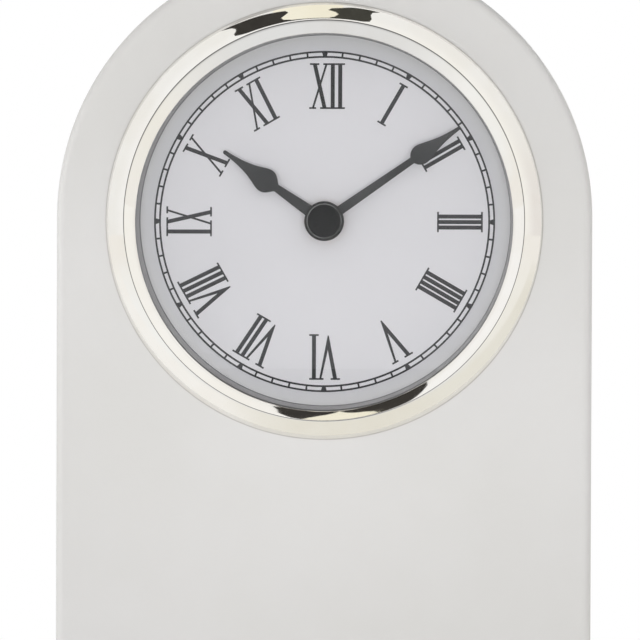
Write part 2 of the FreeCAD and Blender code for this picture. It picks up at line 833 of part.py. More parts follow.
def centre_nut():
    """Thin hexagon nut on the bush, in front of the dial."""
    back = dial_front - washer_thickness
    corner = nut_across_flats / 2 / math.cos(math.pi / nut_sides)
    outline = [place(i * 360.0 / nut_sides, corner) for i in range(nut_sides)]
    return plate(outline, back - nut_thickness, back).cut(rod(bush_radius, bush_front - overrun, dial_back))


def dial_washer():
    """Brass washer under the nut."""
    return ring(washer_radius, bush_radius, dial_front - washer_thickness, dial_front)


def rubber_washer():
    """Rubber washer between the pan and the movement."""
    return ring(rubber_washer_radius, bush_radius, front_board_thickness, movement_front)


# Wheel train


def gear_module(spacing, teeth_a, teeth_b):
    """The module that makes two wheels mesh at the given distance."""
    return 2 * spacing / (teeth_a + teeth_b)


def gear(teeth, module, phase, centre, depth_a, depth_b):
    """A toothed disc with a tooth at the clock angle called phase."""
    pitch_radius = module * teeth / 2
    tip_radius = pitch_radius + tooth_addendum_share * module
    root_radius = pitch_radius - tooth_dedendum_share * module
    half = math.degrees(math.pi / teeth) / 2
    outline = []
    flank = [(tooth_root_share, root_radius), (tooth_share, pitch_radius), (tooth_tip_share, tip_radius)]
    for i in range(teeth):
        middle = phase + i * 360.0 / teeth
        outline += [place(middle - half * share, radius) for share, radius in flank]
        outline += [place(middle + half * share, radius) for share, radius in flank[::-1]]
    return plate([(centre[0] + x, centre[1] + up) for x, up in outline], depth_a, depth_b)


def mesh_phase(teeth_a, phase_a, teeth_b, direction):
    """The phase that sets wheel b in mesh with wheel a, where direction is the clock angle from a to b."""
    offset_a = (direction - phase_a) * teeth_a / 360.0
    offset_b = 0.5 - offset_a
    return direction + 180.0 - offset_b * 360.0 / teeth_b


reduction_place = place(reduction_angle, reduction_spacing)
third_place = place(third_angle, train_spacing)
intermediate_place = place(intermediate_angle, intermediate_spacing)
rotor_offset = place(rotor_angle, rotor_spacing)
rotor_place = (intermediate_place[0] + rotor_offset[0], intermediate_place[1] + rotor_offset[1])
minute_module = gear_module(reduction_spacing, minute_pinion_teeth, reduction_wheel_teeth)
hour_module = gear_module(reduction_spacing, reduction_pinion_teeth, hour_wheel_teeth)
centre_module = gear_module(train_spacing, centre_wheel_teeth, third_pinion_teeth)
third_module = gear_module(train_spacing, third_wheel_teeth, fourth_pinion_teeth)
fourth_module = gear_module(intermediate_spacing, fourth_wheel_teeth, intermediate_pinion_teeth)
rotor_module = gear_module(rotor_spacing, intermediate_wheel_teeth, rotor_pinion_teeth)
reduction_wheel_phase = mesh_phase(minute_pinion_teeth, 0, reduction_wheel_teeth, reduction_angle)
hour_wheel_phase = mesh_phase(reduction_pinion_teeth, 0, hour_wheel_teeth, reduction_angle + 180.0)
third_pinion_phase = mesh_phase(centre_wheel_teeth, 0, third_pinion_teeth, third_angle)
fourth_pinion_phase = mesh_phase(third_wheel_teeth, 0, fourth_pinion_teeth, third_angle + 180.0)
intermediate_pinion_phase = mesh_phase(fourth_wheel_teeth, 0, intermediate_pinion_teeth, intermediate_angle)
rotor_pinion_phase = mesh_phase(intermediate_wheel_teeth, 0, rotor_pinion_teeth, rotor_angle)


def at_level(level):
    """Front and back depths of a wheel at a level behind the movement's front face."""
    return movement_front + level, movement_front + level + wheel_thickness


def hour_wheel():
    """Hour wheel with the long tube that carries the hour hand."""
    front, back = at_level(hour_level)
    wheel = gear(hour_wheel_teeth, hour_module, hour_wheel_phase, (0, 0), front, back)
    solid = joined([wheel, rod(hour_tube_radius, hour_hand_front, back)])
    return solid.cut(rod(hour_bore_radius, hour_hand_front - overrun, back + overrun))


def centre_wheel():
    """Centre wheel, minute pinion and the tube that carries the minute hand."""
    front, back = at_level(centre_level)
    pinion_front, pinion_back = at_level(minute_level)
    wheel = gear(centre_wheel_teeth, centre_module, 0, (0, 0), front, back)
    pinion = gear(minute_pinion_teeth, minute_module, 0, (0, 0), pinion_front, pinion_back)
    tube = rod(minute_tube_radius, minute_hand_front, back)
    solid = joined([wheel, pinion, tube])
    return solid.cut(rod(minute_bore_radius, minute_hand_front - overrun, back + overrun))


def reduction_wheel():
    """Reduction wheel and pinion on the arbor that runs back to the set knob."""
    front, back = at_level(minute_level)
    pinion_front, pinion_back = at_level(hour_level)
    wheel = gear(reduction_wheel_teeth, minute_module, reduction_wheel_phase, reduction_place, front, back)
    pinion = gear(reduction_pinion_teeth, hour_module, 0, reduction_place, pinion_front, back)
    arbor = rod(arbor_radius, pinion_front, movement_back + knob_recess, reduction_place)
    pivot = rod(pivot_radius, gear_floor - pivot_length, pinion_front, reduction_place)
    return joined([wheel, pinion, arbor, pivot])


def train_wheel(wheel, pinion, centre, front, back):
    """A wheel and pinion on an arbor with a pivot at each end; front and back are the arbor's ends."""
    arbor = rod(arbor_radius, front + arbor_end_gap, back - arbor_end_gap, centre)
    pivots = [rod(pivot_radius, front - pivot_length, front + arbor_end_gap, centre),
              rod(pivot_radius, back - arbor_end_gap, back + pivot_length, centre)]
    return joined([wheel, pinion, arbor] + pivots)


def third_wheel():
    """Third wheel, driven slower by the fourth and driving the centre wheel through its pinion."""
    front, back = at_level(third_level)
    pinion_front, pinion_back = at_level(centre_level)
    wheel = gear(third_wheel_teeth, third_module, 0, third_place, front, back)
    pinion = gear(third_pinion_teeth, centre_module, third_pinion_phase, third_place,
                  pinion_front, pinion_back)
    return train_wheel(wheel, pinion, third_place, gear_floor, gear_roof)


def fourth_wheel():
    """Fourth wheel, which turns once a minute on an arbor that runs in the minute tube."""
    front, back = at_level(fourth_level)
    pinion_front, pinion_back = at_level(third_level)
    wheel = gear(fourth_wheel_teeth, fourth_module, 0, (0, 0), front, back)
    pinion = gear(fourth_pinion_teeth, third_module, fourth_pinion_phase, (0, 0), pinion_front, front)
    arbor = rod(minute_bore_radius - tube_gap, gear_floor, pinion_front, (0, 0))
    rear = rod(arbor_radius, back, gear_roof - arbor_end_gap)
    pivot = rod(pivot_radius, gear_roof - arbor_end_gap, gear_roof + pivot_length)
    return joined([wheel, pinion, arbor, rear, pivot])


def intermediate_wheel():
    """Intermediate wheel between the rotor and the fourth wheel."""
    front, back = at_level(intermediate_level)
    pinion_front, pinion_back = at_level(fourth_level)
    wheel = gear(intermediate_wheel_teeth, rotor_module, 0, intermediate_place, front, back)
    pinion = gear(intermediate_pinion_teeth, fourth_module, intermediate_pinion_phase, intermediate_place,
                  pinion_front, pinion_back)
    return train_wheel(wheel, pinion, intermediate_place, plate_back(), gear_roof)


def plate_back():
    """Depth of the rear face of the middle plate."""
    return movement_front + plate_level + plate_thickness


def magnet_depths():
    """Front and back depths of the rotor magnet, centred on the stator."""
    middle = movement_front + stator_level + stator_thickness / 2
    return middle - rotor_magnet_height / 2, middle + rotor_magnet_height / 2


def rotor():
    """Rotor arbor and pinion."""
    front, back = at_level(intermediate_level)
    pinion = gear(rotor_pinion_teeth, rotor_module, rotor_pinion_phase, rotor_place, front, back)
    arbor = rod(arbor_radius, plate_back() + arbor_end_gap, gear_roof - arbor_end_gap, rotor_place)
    pivots = [rod(pivot_radius, plate_back() - pivot_length, plate_back() + arbor_end_gap, rotor_place),
              rod(pivot_radius, gear_roof - arbor_end_gap, gear_roof + pivot_length, rotor_place)]
    return joined([pinion, arbor] + pivots)


def rotor_magnet():
    """Ring magnet on the rotor arbor."""
    front, back = magnet_depths()
    return ring(rotor_magnet_radius, arbor_radius, front, back, rotor_place)


def pivot_holes(depth_a, depth_b, places):
    """Holes for pivots between two depths."""
    return Part.makeCompound([rod(pivot_radius + pivot_gap, depth_a, depth_b, spot) for spot in places])


def movement_housing():
    """Front half of the movement: face plate, side walls, battery bay and the wall above it."""
    half = movement_size / 2
    outside = rounded_block(movement_size, movement_size, movement_corner, movement_front, movement_back)
    inner = half - movement_wall
    train_room = block(-inner, inner, gear_floor, movement_back + overrun, -cover_bottom_drop, inner)
    bay = block(-inner, inner, gear_floor, movement_back + overrun, -inner, -bay_roof_drop)
    housing = outside.cut(train_room).cut(bay)
    housing = housing.cut(rod(bush_radius, movement_front - overrun, gear_floor + overrun))
    bottom = gear_floor - pivot_length - arbor_end_gap
    return housing.cut(pivot_holes(bottom, gear_floor + overrun, [reduction_place, third_place]))


def movement_cover():
    """Rear cover over the train, with holes for the pivots and the knob's arbor."""
    inner = movement_size / 2 - movement_wall - cover_gap
    cover = block(-inner, inner, gear_roof, movement_back, -cover_bottom_drop + cover_gap, inner)
    ribs = []
    for hand in (-1, 1):
        x = hand * (inner - movement_wall)
        ribs.append(block(x - cover_rib_width / 2, x + cover_rib_width / 2, movement_back,
                          movement_back + cover_rib_height, 0, inner - movement_wall))
    cover = joined([cover] + ribs)
    reach = gear_roof + pivot_length + arbor_end_gap
    holes = pivot_holes(gear_roof - overrun, reach, [third_place, (0, 0), intermediate_place, rotor_place])
    through = rod(arbor_radius + pivot_gap, gear_roof - overrun, movement_back + overrun, reduction_place)
    return cover.cut(holes).cut(through)


def middle_plate():
    """Plate that divides the train and carries the fast wheels' front pivots, the stator and the board."""
    inner = movement_size / 2 - movement_wall - cover_gap
    front, back = movement_front + plate_level, plate_back()
    body = block(-inner, inner, front, back, -cover_bottom_drop + cover_gap, inner)
    low, high = coil_span()
    coil_room = block(coil_centre_x - bobbin_cheek_radius - coil_room_gap, inner + overrun, front - overrun,
                      back + overrun, low - coil_room_gap, high + coil_room_gap)
    body = body.cut(coil_room)
    reduction_room = rod(arbor_radius + pivot_gap, front - overrun, back + overrun, reduction_place)
    third_room = rod(arbor_radius + pivot_gap, front - overrun, back + overrun, third_place)
    centre_room = rod(minute_bore_radius + pivot_gap, front - overrun, back + overrun)
    body = body.cut(reduction_room).cut(third_room).cut(centre_room)
    bottom = back - pivot_length - arbor_end_gap
    body = body.cut(pivot_holes(bottom, back + overrun, [intermediate_place, rotor_place]))
    board_front, stator_front = movement_front + board_level, movement_front + stator_level
    posts = [rod(board_post_radius, back, board_front, spot) for spot in post_places()]
    rests = [rod(board_post_radius, back, stator_front, spot) for spot in stator_rests()]
    pegs = [rod(board_post_radius, gear_floor, front, spot) for spot in peg_places()]
    return joined([body] + posts + rests + pegs)


def peg_places():
    """Four pegs near the corners of the middle plate."""
    side = movement_size / 2 - movement_wall - 2 * board_post_radius
    low = -cover_bottom_drop + 2 * board_post_radius
    return [(-side, side), (side, side), (-side, low), (side, low)]


def post_places():
    """Two posts under the circuit board."""
    x, up = board_corner()
    return [(x + 2 * board_post_radius, up - board_height / 2),
            (x + board_width - 2 * board_post_radius, up - board_height / 2)]


def stator_left():
    """The stator's left edge, placed so that its left leg is centred on the rotor."""
    return rotor_place[0] - stator_left_width / 2


def stator_rests():
    """Two stubs that carry the stator, under its upper and lower arms."""
    middle_x = (stator_left() + stator_left_width + coil_centre_x) / 2
    return [(middle_x, stator_top - stator_arm / 2), (middle_x, stator_arm / 2 - stator_bottom)]


def stator():
    """Soft-iron stator plate: a leg with the rotor's bore and two arms to the coil core."""
    left, right = stator_left(), coil_centre_x + coil_core_width / 2
    front = movement_front + stator_level
    back = front + stator_thickness
    body = block(left, right, front, back, -stator_bottom, stator_top)
    window = block(left + stator_left_width, right + overrun, front - overrun, back + overrun,
                   stator_arm - stator_bottom, stator_top - stator_arm)
    bore = rod(rotor_magnet_radius + rotor_air_gap, front - overrun, back + overrun, rotor_place)
    return body.cut(window).cut(bore)


def coil_core():
    """Flat iron core that lies on the stator's two arms and passes through the bobbin."""
    front = movement_front + stator_level + stator_thickness
    half = coil_core_width / 2
    return block(coil_centre_x - half, coil_centre_x + half, front, front + coil_core_thickness,
                 -stator_bottom, stator_top)


def coil_span():
    """Lower and upper ends of the bobbin, between the stator's arms."""
    return stator_arm - stator_bottom + tube_gap, stator_top - stator_arm - tube_gap


def upright_rod(radius, up_a, up_b):
    """A cylinder along Z on the coil's axis."""
    depth = movement_front + stator_level + stator_thickness + coil_core_thickness / 2
    return Part.makeCylinder(radius, up_b - up_a, point(coil_centre_x, depth, up_a), Vec(0, 0, 1))


def bobbin_inner_radius():
    """The bobbin tube's outer radius, just round the core."""
    return math.hypot(coil_core_width, coil_core_thickness) / 2 + bobbin_wall


def coil_bobbin():
    """Moulded bobbin: a tube and two cheeks with a slot for the core."""
    low, high = coil_span()
    cheeks = [upright_rod(bobbin_cheek_radius, low, low + bobbin_cheek_thickness),
              upright_rod(bobbin_cheek_radius, high - bobbin_cheek_thickness, high)]
    tube = upright_rod(bobbin_inner_radius(), low, high)
    return joined([tube] + cheeks).cut(coil_core())


def coil_winding():
    """Copper winding on the bobbin."""
    low, high = coil_span()
    start, end = low + bobbin_cheek_thickness, high - bobbin_cheek_thickness
    inner = upright_rod(bobbin_inner_radius(), low - overrun, high + overrun)
    return upright_rod(coil_radius, start, end).cut(inner)


def board_corner():
    """Upper left corner of the circuit board."""
    side = movement_size / 2 - movement_wall - board_corner_gap
    return -side, side


def circuit_board():
    """Small circuit board in the upper left of the movement, on the middle plate's posts."""
    x, up = board_corner()
    front = movement_front + board_level
    return block(x, x + board_width, front, front + board_thickness, up - board_height, up)


def control_chip():
    """Drop of resin over the chip, on the front face of the board."""
    x, up = board_corner()
    front = movement_front + board_level
    return rod(chip_side / 2, front - chip_height, front, (x + board_width / 2, up - board_height / 2))


def quartz_crystal():
    """Crystal can lying along the front of the board beside the chip."""
    x, up = board_corner()
    front = movement_front + board_level
    start = x + board_width / 2 + chip_side / 2 + board_corner_gap
    return Part.makeCylinder(crystal_radius, crystal_length,
                             point(start, front - crystal_radius, up - crystal_radius - board_corner_gap),
                             Vec(1, 0, 0))


def battery_depth():
    """Depth of the battery's axis."""
    return gear_floor + battery_lift + battery_radius


def battery_rod(radius, x_a, x_b):
    """A cylinder along X on the battery's axis."""
    return Part.makeCylinder(radius, x_b - x_a, point(x_a, battery_depth(), -bay_centre_drop), Vec(1, 0, 0))


def battery():
    """AA cell lying in its bay, with its nub to the right."""
    half = battery_can_length / 2
    return joined([battery_rod(battery_radius, -half, half),
                   battery_rod(battery_nub_radius, half, half + battery_nub_length)])


def contact(hand):
    """Sprung strip against one end wall of the bay, with a bump that meets the battery."""
    wall_x = hand * (movement_size / 2 - movement_wall)
    half_width = contact_width / 2
    xs = sorted([wall_x, wall_x - hand * contact_thickness])
    strip = block(xs[0], xs[1], gear_floor, movement_back - movement_wall,
                  -bay_centre_drop - half_width, -bay_centre_drop + half_width)
    battery_end = battery_can_length / 2 + (battery_nub_length if hand > 0 else 0)
    bump_xs = sorted([wall_x - hand * contact_thickness, hand * (battery_end + tube_gap)])
    bump = battery_rod(contact_bump_radius, bump_xs[0], bump_xs[1])
    tab_xs = sorted([wall_x - hand * contact_thickness, wall_x - hand * contact_tab])
    tab = block(tab_xs[0], tab_xs[1], gear_floor, gear_floor + battery_lift / 2,
                -bay_centre_drop - half_width / 2, -bay_centre_drop + half_width / 2)
    return joined([strip, bump, tab])


def set_knob():
    """Notched knob on the rear end of the reduction arbor, for setting the hands."""
    front = movement_back + knob_recess
    knob = rod(knob_radius, front, front + knob_height, reduction_place)
    notches = []
    for i in range(knob_notch_count):
        x, up = place(i * 360.0 / knob_notch_count, knob_radius)
        spot = (reduction_place[0] + x, reduction_place[1] + up)
        notches.append(rod(knob_notch_radius, front - overrun, front + knob_height + overrun, spot))
    back = front + knob_height
    outer = knob_radius - 2 * knob_notch_radius - knob_groove
    groove = ring(outer, outer - knob_groove, back - knob_groove, back + overrun, reduction_place)
    return knob.cut(Part.makeCompound(notches)).cut(groove)


def contact_positive():
    """Contact at the battery's nub."""
    return contact(1)


def contact_negative():
    """Contact at the battery's flat end."""
    return contact(-1)


def bored_front_board():
    """The front board with the holes that the clip screws fill."""
    holes = shanks(clip_screw_spots(), clip_screw_radius, front_board_thickness - clip_screw_grip,
                   front_board_thickness)
    return front_board().cut(holes)


makers = {
    "front_board": bored_front_board,
    "arch_rim": arch_rim,
    "base_board": base_board,
    "glue_blocks": glue_blocks,
    "back_panel": back_panel,
    "back_panel_screws": back_panel_screws,
    "battery_hatch": battery_hatch,
    "foot_pads": foot_pads,
    "bezel": bezel,
    "dial_glass": dial_glass,
    "glass_gasket": glass_gasket,
    "sight_ring": sight_ring,
    "dial_plate": dial_plate,
    "minute_track": minute_track,
    "roman_numerals": roman_numerals,
    "dial_pan": dial_pan,
    "pan_clips": pan_clips,
    "pan_clip_screws": pan_clip_screws,
    "hour_hand": hour_hand,
    "hour_collet": hour_collet,
    "minute_hand": minute_hand,
    "minute_collet": minute_collet,
    "hand_cap": hand_cap,
    "centre_bush": centre_bush,
    "centre_nut": centre_nut,
    "dial_washer": dial_washer,
    "rubber_washer": rubber_washer,
    "hour_wheel": hour_wheel,
    "centre_wheel": centre_wheel,
    "reduction_wheel": reduction_wheel,
    "third_wheel": third_wheel,
    "fourth_wheel": fourth_wheel,
    "intermediate_wheel": intermediate_wheel,
    "rotor": rotor,
    "rotor_magnet": rotor_magnet,
    "movement_housing": movement_housing,
    "movement_cover": movement_cover,
    "middle_plate": middle_plate,
    "stator": stator,
    "coil_core": coil_core,
    "coil_bobbin": coil_bobbin,
    "coil_winding": coil_winding,
    "circuit_board": circuit_board,
    "control_chip": control_chip,
    "quartz_crystal": quartz_crystal,
    "battery": battery,
    "contact_positive": contact_positive,
    "contact_negative": contact_negative,
    "set_knob": set_knob,
}

os.makedirs("parts", exist_ok=True)
for name, make in makers.items():
    shape = make()
    if not shape.isValid() or shape.Volume <= 0:
        print("check", name, shape.isValid(), round(shape.Volume, 3))
    shape.exportStep(f"parts/{name}.step")
print(len(makers), "nodes written")
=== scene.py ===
# %% [markdown]
# An arched mantel clock, dressed for its portrait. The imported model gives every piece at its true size, and
# this file gives the pieces their finish: sprayed lacquer, turned and polished nickel, a silvered dial,
# printed ink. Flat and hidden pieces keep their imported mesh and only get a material. Pieces with long
# curves or fine edges, such as the bezel and the case, are modelled again here in the same place, because a
# mirror shows every facet.

# %% The frame
import bmesh
import bpy
import json
import math
from mathutils import Matrix, Vector
from mathutils.geometry import tessellate_polygon

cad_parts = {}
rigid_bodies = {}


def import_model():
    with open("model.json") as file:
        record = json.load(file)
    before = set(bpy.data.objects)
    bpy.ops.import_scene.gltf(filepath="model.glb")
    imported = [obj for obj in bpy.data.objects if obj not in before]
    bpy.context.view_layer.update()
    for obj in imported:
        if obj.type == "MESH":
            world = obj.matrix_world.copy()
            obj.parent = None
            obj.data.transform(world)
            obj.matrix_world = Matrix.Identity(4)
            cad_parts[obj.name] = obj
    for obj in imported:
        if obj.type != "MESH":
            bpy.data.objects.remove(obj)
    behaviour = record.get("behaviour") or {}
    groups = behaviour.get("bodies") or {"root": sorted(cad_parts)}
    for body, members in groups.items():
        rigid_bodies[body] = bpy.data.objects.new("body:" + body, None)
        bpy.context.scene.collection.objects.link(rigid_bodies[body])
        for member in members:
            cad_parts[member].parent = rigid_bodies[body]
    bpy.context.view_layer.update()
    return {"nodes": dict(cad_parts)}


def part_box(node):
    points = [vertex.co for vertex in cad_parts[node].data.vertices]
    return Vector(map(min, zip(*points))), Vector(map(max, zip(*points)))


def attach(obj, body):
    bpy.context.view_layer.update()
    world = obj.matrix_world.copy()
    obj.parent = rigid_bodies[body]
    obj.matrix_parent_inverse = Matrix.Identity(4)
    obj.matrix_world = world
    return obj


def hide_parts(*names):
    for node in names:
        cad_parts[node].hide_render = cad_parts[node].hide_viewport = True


for leftover in list(bpy.data.objects):
    bpy.data.objects.remove(leftover)
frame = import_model()

# %% [markdown]
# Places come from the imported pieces, so nothing has to be fitted by eye. The bezel's box gives the middle
# of the dial and the plane of the case front. Sizes that no box can tell, such as the width of a band, have
# names here.

# %% Places and sizes
MM = 0.001
bezel_low, bezel_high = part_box("bezel")
board_low, board_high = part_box("front_board")
rim_low, rim_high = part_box("arch_rim")
cap_low, cap_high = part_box("hand_cap")
front_y = board_low.y
dial_z = (bezel_low.z + bezel_high.z) / 2
bezel_radius = bezel_high.z - dial_z
arch_radius = rim_high.x
spring_z = rim_high.z - arch_radius
foot_z = rim_low.z
dial_centre = Vector((0, front_y, dial_z))
print("dial centre at", [round(v / MM, 2) for v in dial_centre], "mm")

# %% [markdown]
# A few helpers make almost every new piece. One rounds the corners of a profile, because a real edge always
# has a small radius that catches the light. One turns a profile round an axis, as a lathe does. One puts a
# finished mesh in the scene, smooth where the surface is smooth and crisp at its true edges.

# %% Helpers for meshes
weld, packed_weld = 0.001 * MM, 0.002 * MM
crisp = math.radians(32)


def linked(name, data):
    """A new object of the scene that holds a mesh, a lamp or a camera."""
    holder = bpy.data.objects.new(name, data)
    bpy.context.scene.collection.objects.link(holder)
    return holder


def mesh_of(name, bm):
    """A mesh from a bmesh, which is used up."""
    mesh = bpy.data.meshes.new(name)
    bm.to_mesh(mesh)
    bm.free()
    return mesh


def put(name, bm):
    """A new object from a bmesh, with its normals outwards and smooth shading except at crisp edges."""
    bmesh.ops.remove_doubles(bm, verts=bm.verts, dist=weld)
    bmesh.ops.recalc_face_normals(bm, faces=bm.faces)
    mesh = mesh_of(name, bm)
    mesh.shade_smooth()
    mesh.set_sharp_from_angle(angle=crisp)
    return linked(name, mesh)


def packed_copy(node):
    """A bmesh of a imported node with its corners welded."""
    bm = bmesh.new()
    bm.from_mesh(frame["nodes"][node].data)
    bmesh.ops.remove_doubles(bm, verts=bm.verts, dist=packed_weld)
    return bm


def bridge(bm, loop, following):
    """A band of faces between two closed loops, either of which may be one point repeated."""
    for i in range(len(loop)):
        corners = dict.fromkeys([loop[i - 1], loop[i], following[i], following[i - 1]])
        if len(corners) > 2:
            bm.faces.new(list(corners))


def circle(radius, steps):
    """Points round a circle, clockwise from the top."""
    return [(radius * math.sin(math.tau * i / steps), radius * math.cos(math.tau * i / steps))
            for i in range(steps)]


def dress(piece, body, slot, material, *nodes):
    """Gives a new piece its material and body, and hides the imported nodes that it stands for."""
    piece.data.materials.clear()
    piece.data.materials.append(material)
    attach(piece, body)
    if nodes:
        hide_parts(*nodes)
    print(piece.name, "faces:", len(piece.data.polygons))


def paint(material, *nodes):
    """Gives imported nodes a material."""
    for name in nodes:
        for holder in frame["nodes"][name].material_slots:
            holder.material = material


# %% [markdown]
# Profiles are short lists of corners. A corner can be eased by its own radius, a line between two corners
# can be bowed, and the finished outline is turned. Points of an outline are (distance across, distance
# along the axis).

# %% Helpers for profiles
bow_steps = 12


def eased(corners, steps=5):
    """A closed outline with each corner rounded; a corner is (across, along, radius)."""
    outline = []
    for before, corner, after in zip(corners[-1:] + corners[:-1], corners, corners[1:] + corners[:1]):
        middle, radius = Vector(corner[:2]), corner[2]
        if radius == 0:
            outline.append(middle)
            continue
        to_before = (Vector(before[:2]) - middle).normalized()
        to_after = (Vector(after[:2]) - middle).normalized()
        half = to_before.angle(to_after) / 2
        reach = radius / math.tan(half)
        hub = middle + (to_before + to_after).normalized() * radius / math.sin(half)
        start, end = middle + to_before * reach - hub, middle + to_after * reach - hub
        for i in range(steps + 1):
            outline.append(hub + start.normalized().slerp(end.normalized(), i / steps) * radius)
    return [(point.x, point.y) for point in outline]


def bowed(start, end, bulge):
    """Points on a flat arc from start to end that stands out by the bulge, both ends left out."""
    start, end = Vector(start), Vector(end)
    across = Vector((-(end - start).y, (end - start).x)).normalized()
    shares = [i / bow_steps for i in range(1, bow_steps)]
    return [tuple(start.lerp(end, share) + across * bulge * 4 * share * (1 - share)) for share in shares]


def quarter(radius, steps):
    """A quarter round as distances from the two sides that it joins."""
    turns = [math.pi / 2 * i / steps for i in range(steps + 1)]
    return [(radius * (1 - math.sin(turn)), radius * (1 - math.cos(turn))) for turn in turns]


def turned(name, outline, steps, centre=dial_centre, along="Y"):
    """A solid turned from a closed outline of (radius, distance along the axis from the centre)."""
    bm = bmesh.new()
    rings = []
    for radius, reach in outline:
        points = circle(radius, steps if radius > weld else 1)
        places = [(a, reach, b) if along == "Y" else (reach, a, b) for a, b in points]
        ring = [bm.verts.new(centre + Vector(place)) for place in places]
        rings.append(ring * (steps // len(ring)))
    for ring, following in zip(rings, rings[1:] + rings[:1]):
        bridge(bm, ring, following)
    return put(name, bm)


# %% [markdown]
# Materials are node trees. A short way to add a node, set it and link it keeps each tree readable as a
# recipe. Colours are written as they look on screen, from 0 to 255, and turned into the linear values that
# light needs.

# %% Helpers for materials
def tone(red, green, blue):
    """A linear colour from one written as it looks on screen."""
    def linear(value):
        share = value / 255
        return share / 12.92 if share <= 0.04045 else ((share + 0.055) / 1.055) ** 2.4
    return linear(red), linear(green), linear(blue), 1.0


def fill(node, tree, links):
    """Sets or links the inputs of a node; underscores in a name stand for spaces."""
    for key, value in links.items():
        socket = node.inputs[key.replace("_", " ") if isinstance(key, str) else key]
        if isinstance(value, bpy.types.NodeSocket):
            tree.links.new(value, socket)
        else:
            socket.default_value = value
    return node


def add(tree, kind, links=None, **settings):
    """A new node: settings are its own options, links are values or sockets for its inputs."""
    node = tree.nodes.new(kind)
    for key, value in settings.items():
        setattr(node, key, value)
    return fill(node, tree, links or {})


def maths(tree, operation, first, second=0.0, third=0.0):
    """The result of a Math node."""
    return add(tree, "ShaderNodeMath", {0: first, 1: second, 2: third}, operation=operation).outputs[0]


def vectors(tree, operation, first, second=(0.0, 0.0, 0.0), result="Vector"):
    """The result of a Vector Math node."""
    return add(tree, "ShaderNodeVectorMath", {0: first, 1: second}, operation=operation).outputs[result]


def axes(tree, vector):
    """The X, Y and Z of a vector."""
    return add(tree, "ShaderNodeSeparateXYZ", {0: vector}).outputs


def spread(tree, mask, low, high):
    """A mask from 0 to 1 stretched between two values."""
    return add(tree, "ShaderNodeMapRange", {"Value": mask, "To Min": low, "To Max": high}).outputs["Result"]


def window(tree, value, start, end):
    """A soft step from 0 at start to 1 at end."""
    return add(tree, "ShaderNodeMapRange", {"Value": value, "From Min": start, "From Max": end},
               interpolation_type="SMOOTHSTEP").outputs["Result"]


def blended(tree, mask, first, second):
    """A colour mixed from two by a mask."""
    return add(tree, "ShaderNodeMix", {0: mask, 6: first, 7: second}, data_type="RGBA").outputs[2]


def object_place(tree):
    """The point being shaded, in the frame of the model."""
    return add(tree, "ShaderNodeTexCoord").outputs["Object"]


def noise(tree, scale, place=None, **more):
    """Grey noise from 0 to 1."""
    links = {"Vector": place or object_place(tree), "Scale": scale, **more}
    return add(tree, "ShaderNodeTexNoise", links).outputs["Fac"]


def use(tree, group, output="Mask", **values):
    """The mask of a shared effect, placed with its own values."""
    return add(tree, "ShaderNodeGroup", values, node_tree=group).outputs[output]


def new_material(name, **plain):
    """A material and its tree, with plain values set on the shader's own sockets."""
    material = bpy.data.materials.new(name)
    material.use_nodes = True
    fill(material.node_tree.nodes["Principled BSDF"], material.node_tree, plain)
    print("material:", name)
    return material, material.node_tree


def closed(tree, sink, **outputs):
    """The tree with its outputs linked."""
    fill(sink, tree, outputs)
    return tree


def cooked(material, colour, shine, height=None, strength=0.0, depth=0.0):
    """The material with its colour and roughness plugged in, and a bump whose depth is in millimetres."""
    tree = material.node_tree
    links = {"Base Color": colour, "Roughness": shine}
    if height:
        bump = add(tree, "ShaderNodeBump", {"Strength": strength, "Distance": depth * MM, "Height": height})
        links["Normal"] = bump.outputs["Normal"]
    fill(tree.nodes["Principled BSDF"], tree, links)
    return material


def surfaced(tree, share, first, second, end="Material Output"):
    """Sends a mix of two shaders to the surface."""
    mixed = add(tree, "ShaderNodeMixShader", {0: share, 1: first.outputs[0], 2: second.outputs[0]})
    tree.links.new(mixed.outputs[0], tree.nodes[end].inputs["Surface"])


# %% [markdown]
# Effects that many finishes share are node groups, built once. Mottle is the slow unevenness of any real
# surface, grain is its fine tooth, scuffs are hairline scratches, turning marks follow circles round an
# axis, worn edges finds corners by comparing a bevelled normal with the true one, and dust settles where a
# surface faces up.

# %% Shared effects
def new_group(name, **inputs):
    """An empty shader group with inputs of given defaults and a mask as its output."""
    tree = bpy.data.node_groups.new(name, "ShaderNodeTree")
    for label, default in inputs.items():
        kind = "NodeSocketVector" if isinstance(default, tuple) else "NodeSocketFloat"
        tree.interface.new_socket(label, in_out="INPUT", socket_type=kind).default_value = default
    tree.interface.new_socket("Mask", in_out="OUTPUT", socket_type="NodeSocketFloat")
    return tree, tree.nodes.new("NodeGroupInput").outputs, tree.nodes.new("NodeGroupOutput")


def make_mottle():
    tree, source, sink = new_group("mottle", Scale=40.0)
    clouds = noise(tree, source["Scale"], Detail=3.0, Roughness=0.55)
    return closed(tree, sink, Mask=window(tree, clouds, 0.3, 0.7))


def make_grain():
    tree, source, sink = new_group("grain", Scale=4000.0, Stretch=(1.0, 1.0, 1.0))
    place = vectors(tree, "MULTIPLY", object_place(tree), source["Stretch"])
    return closed(tree, sink, Mask=noise(tree, source["Scale"], place, Detail=5.0, Roughness=0.65))


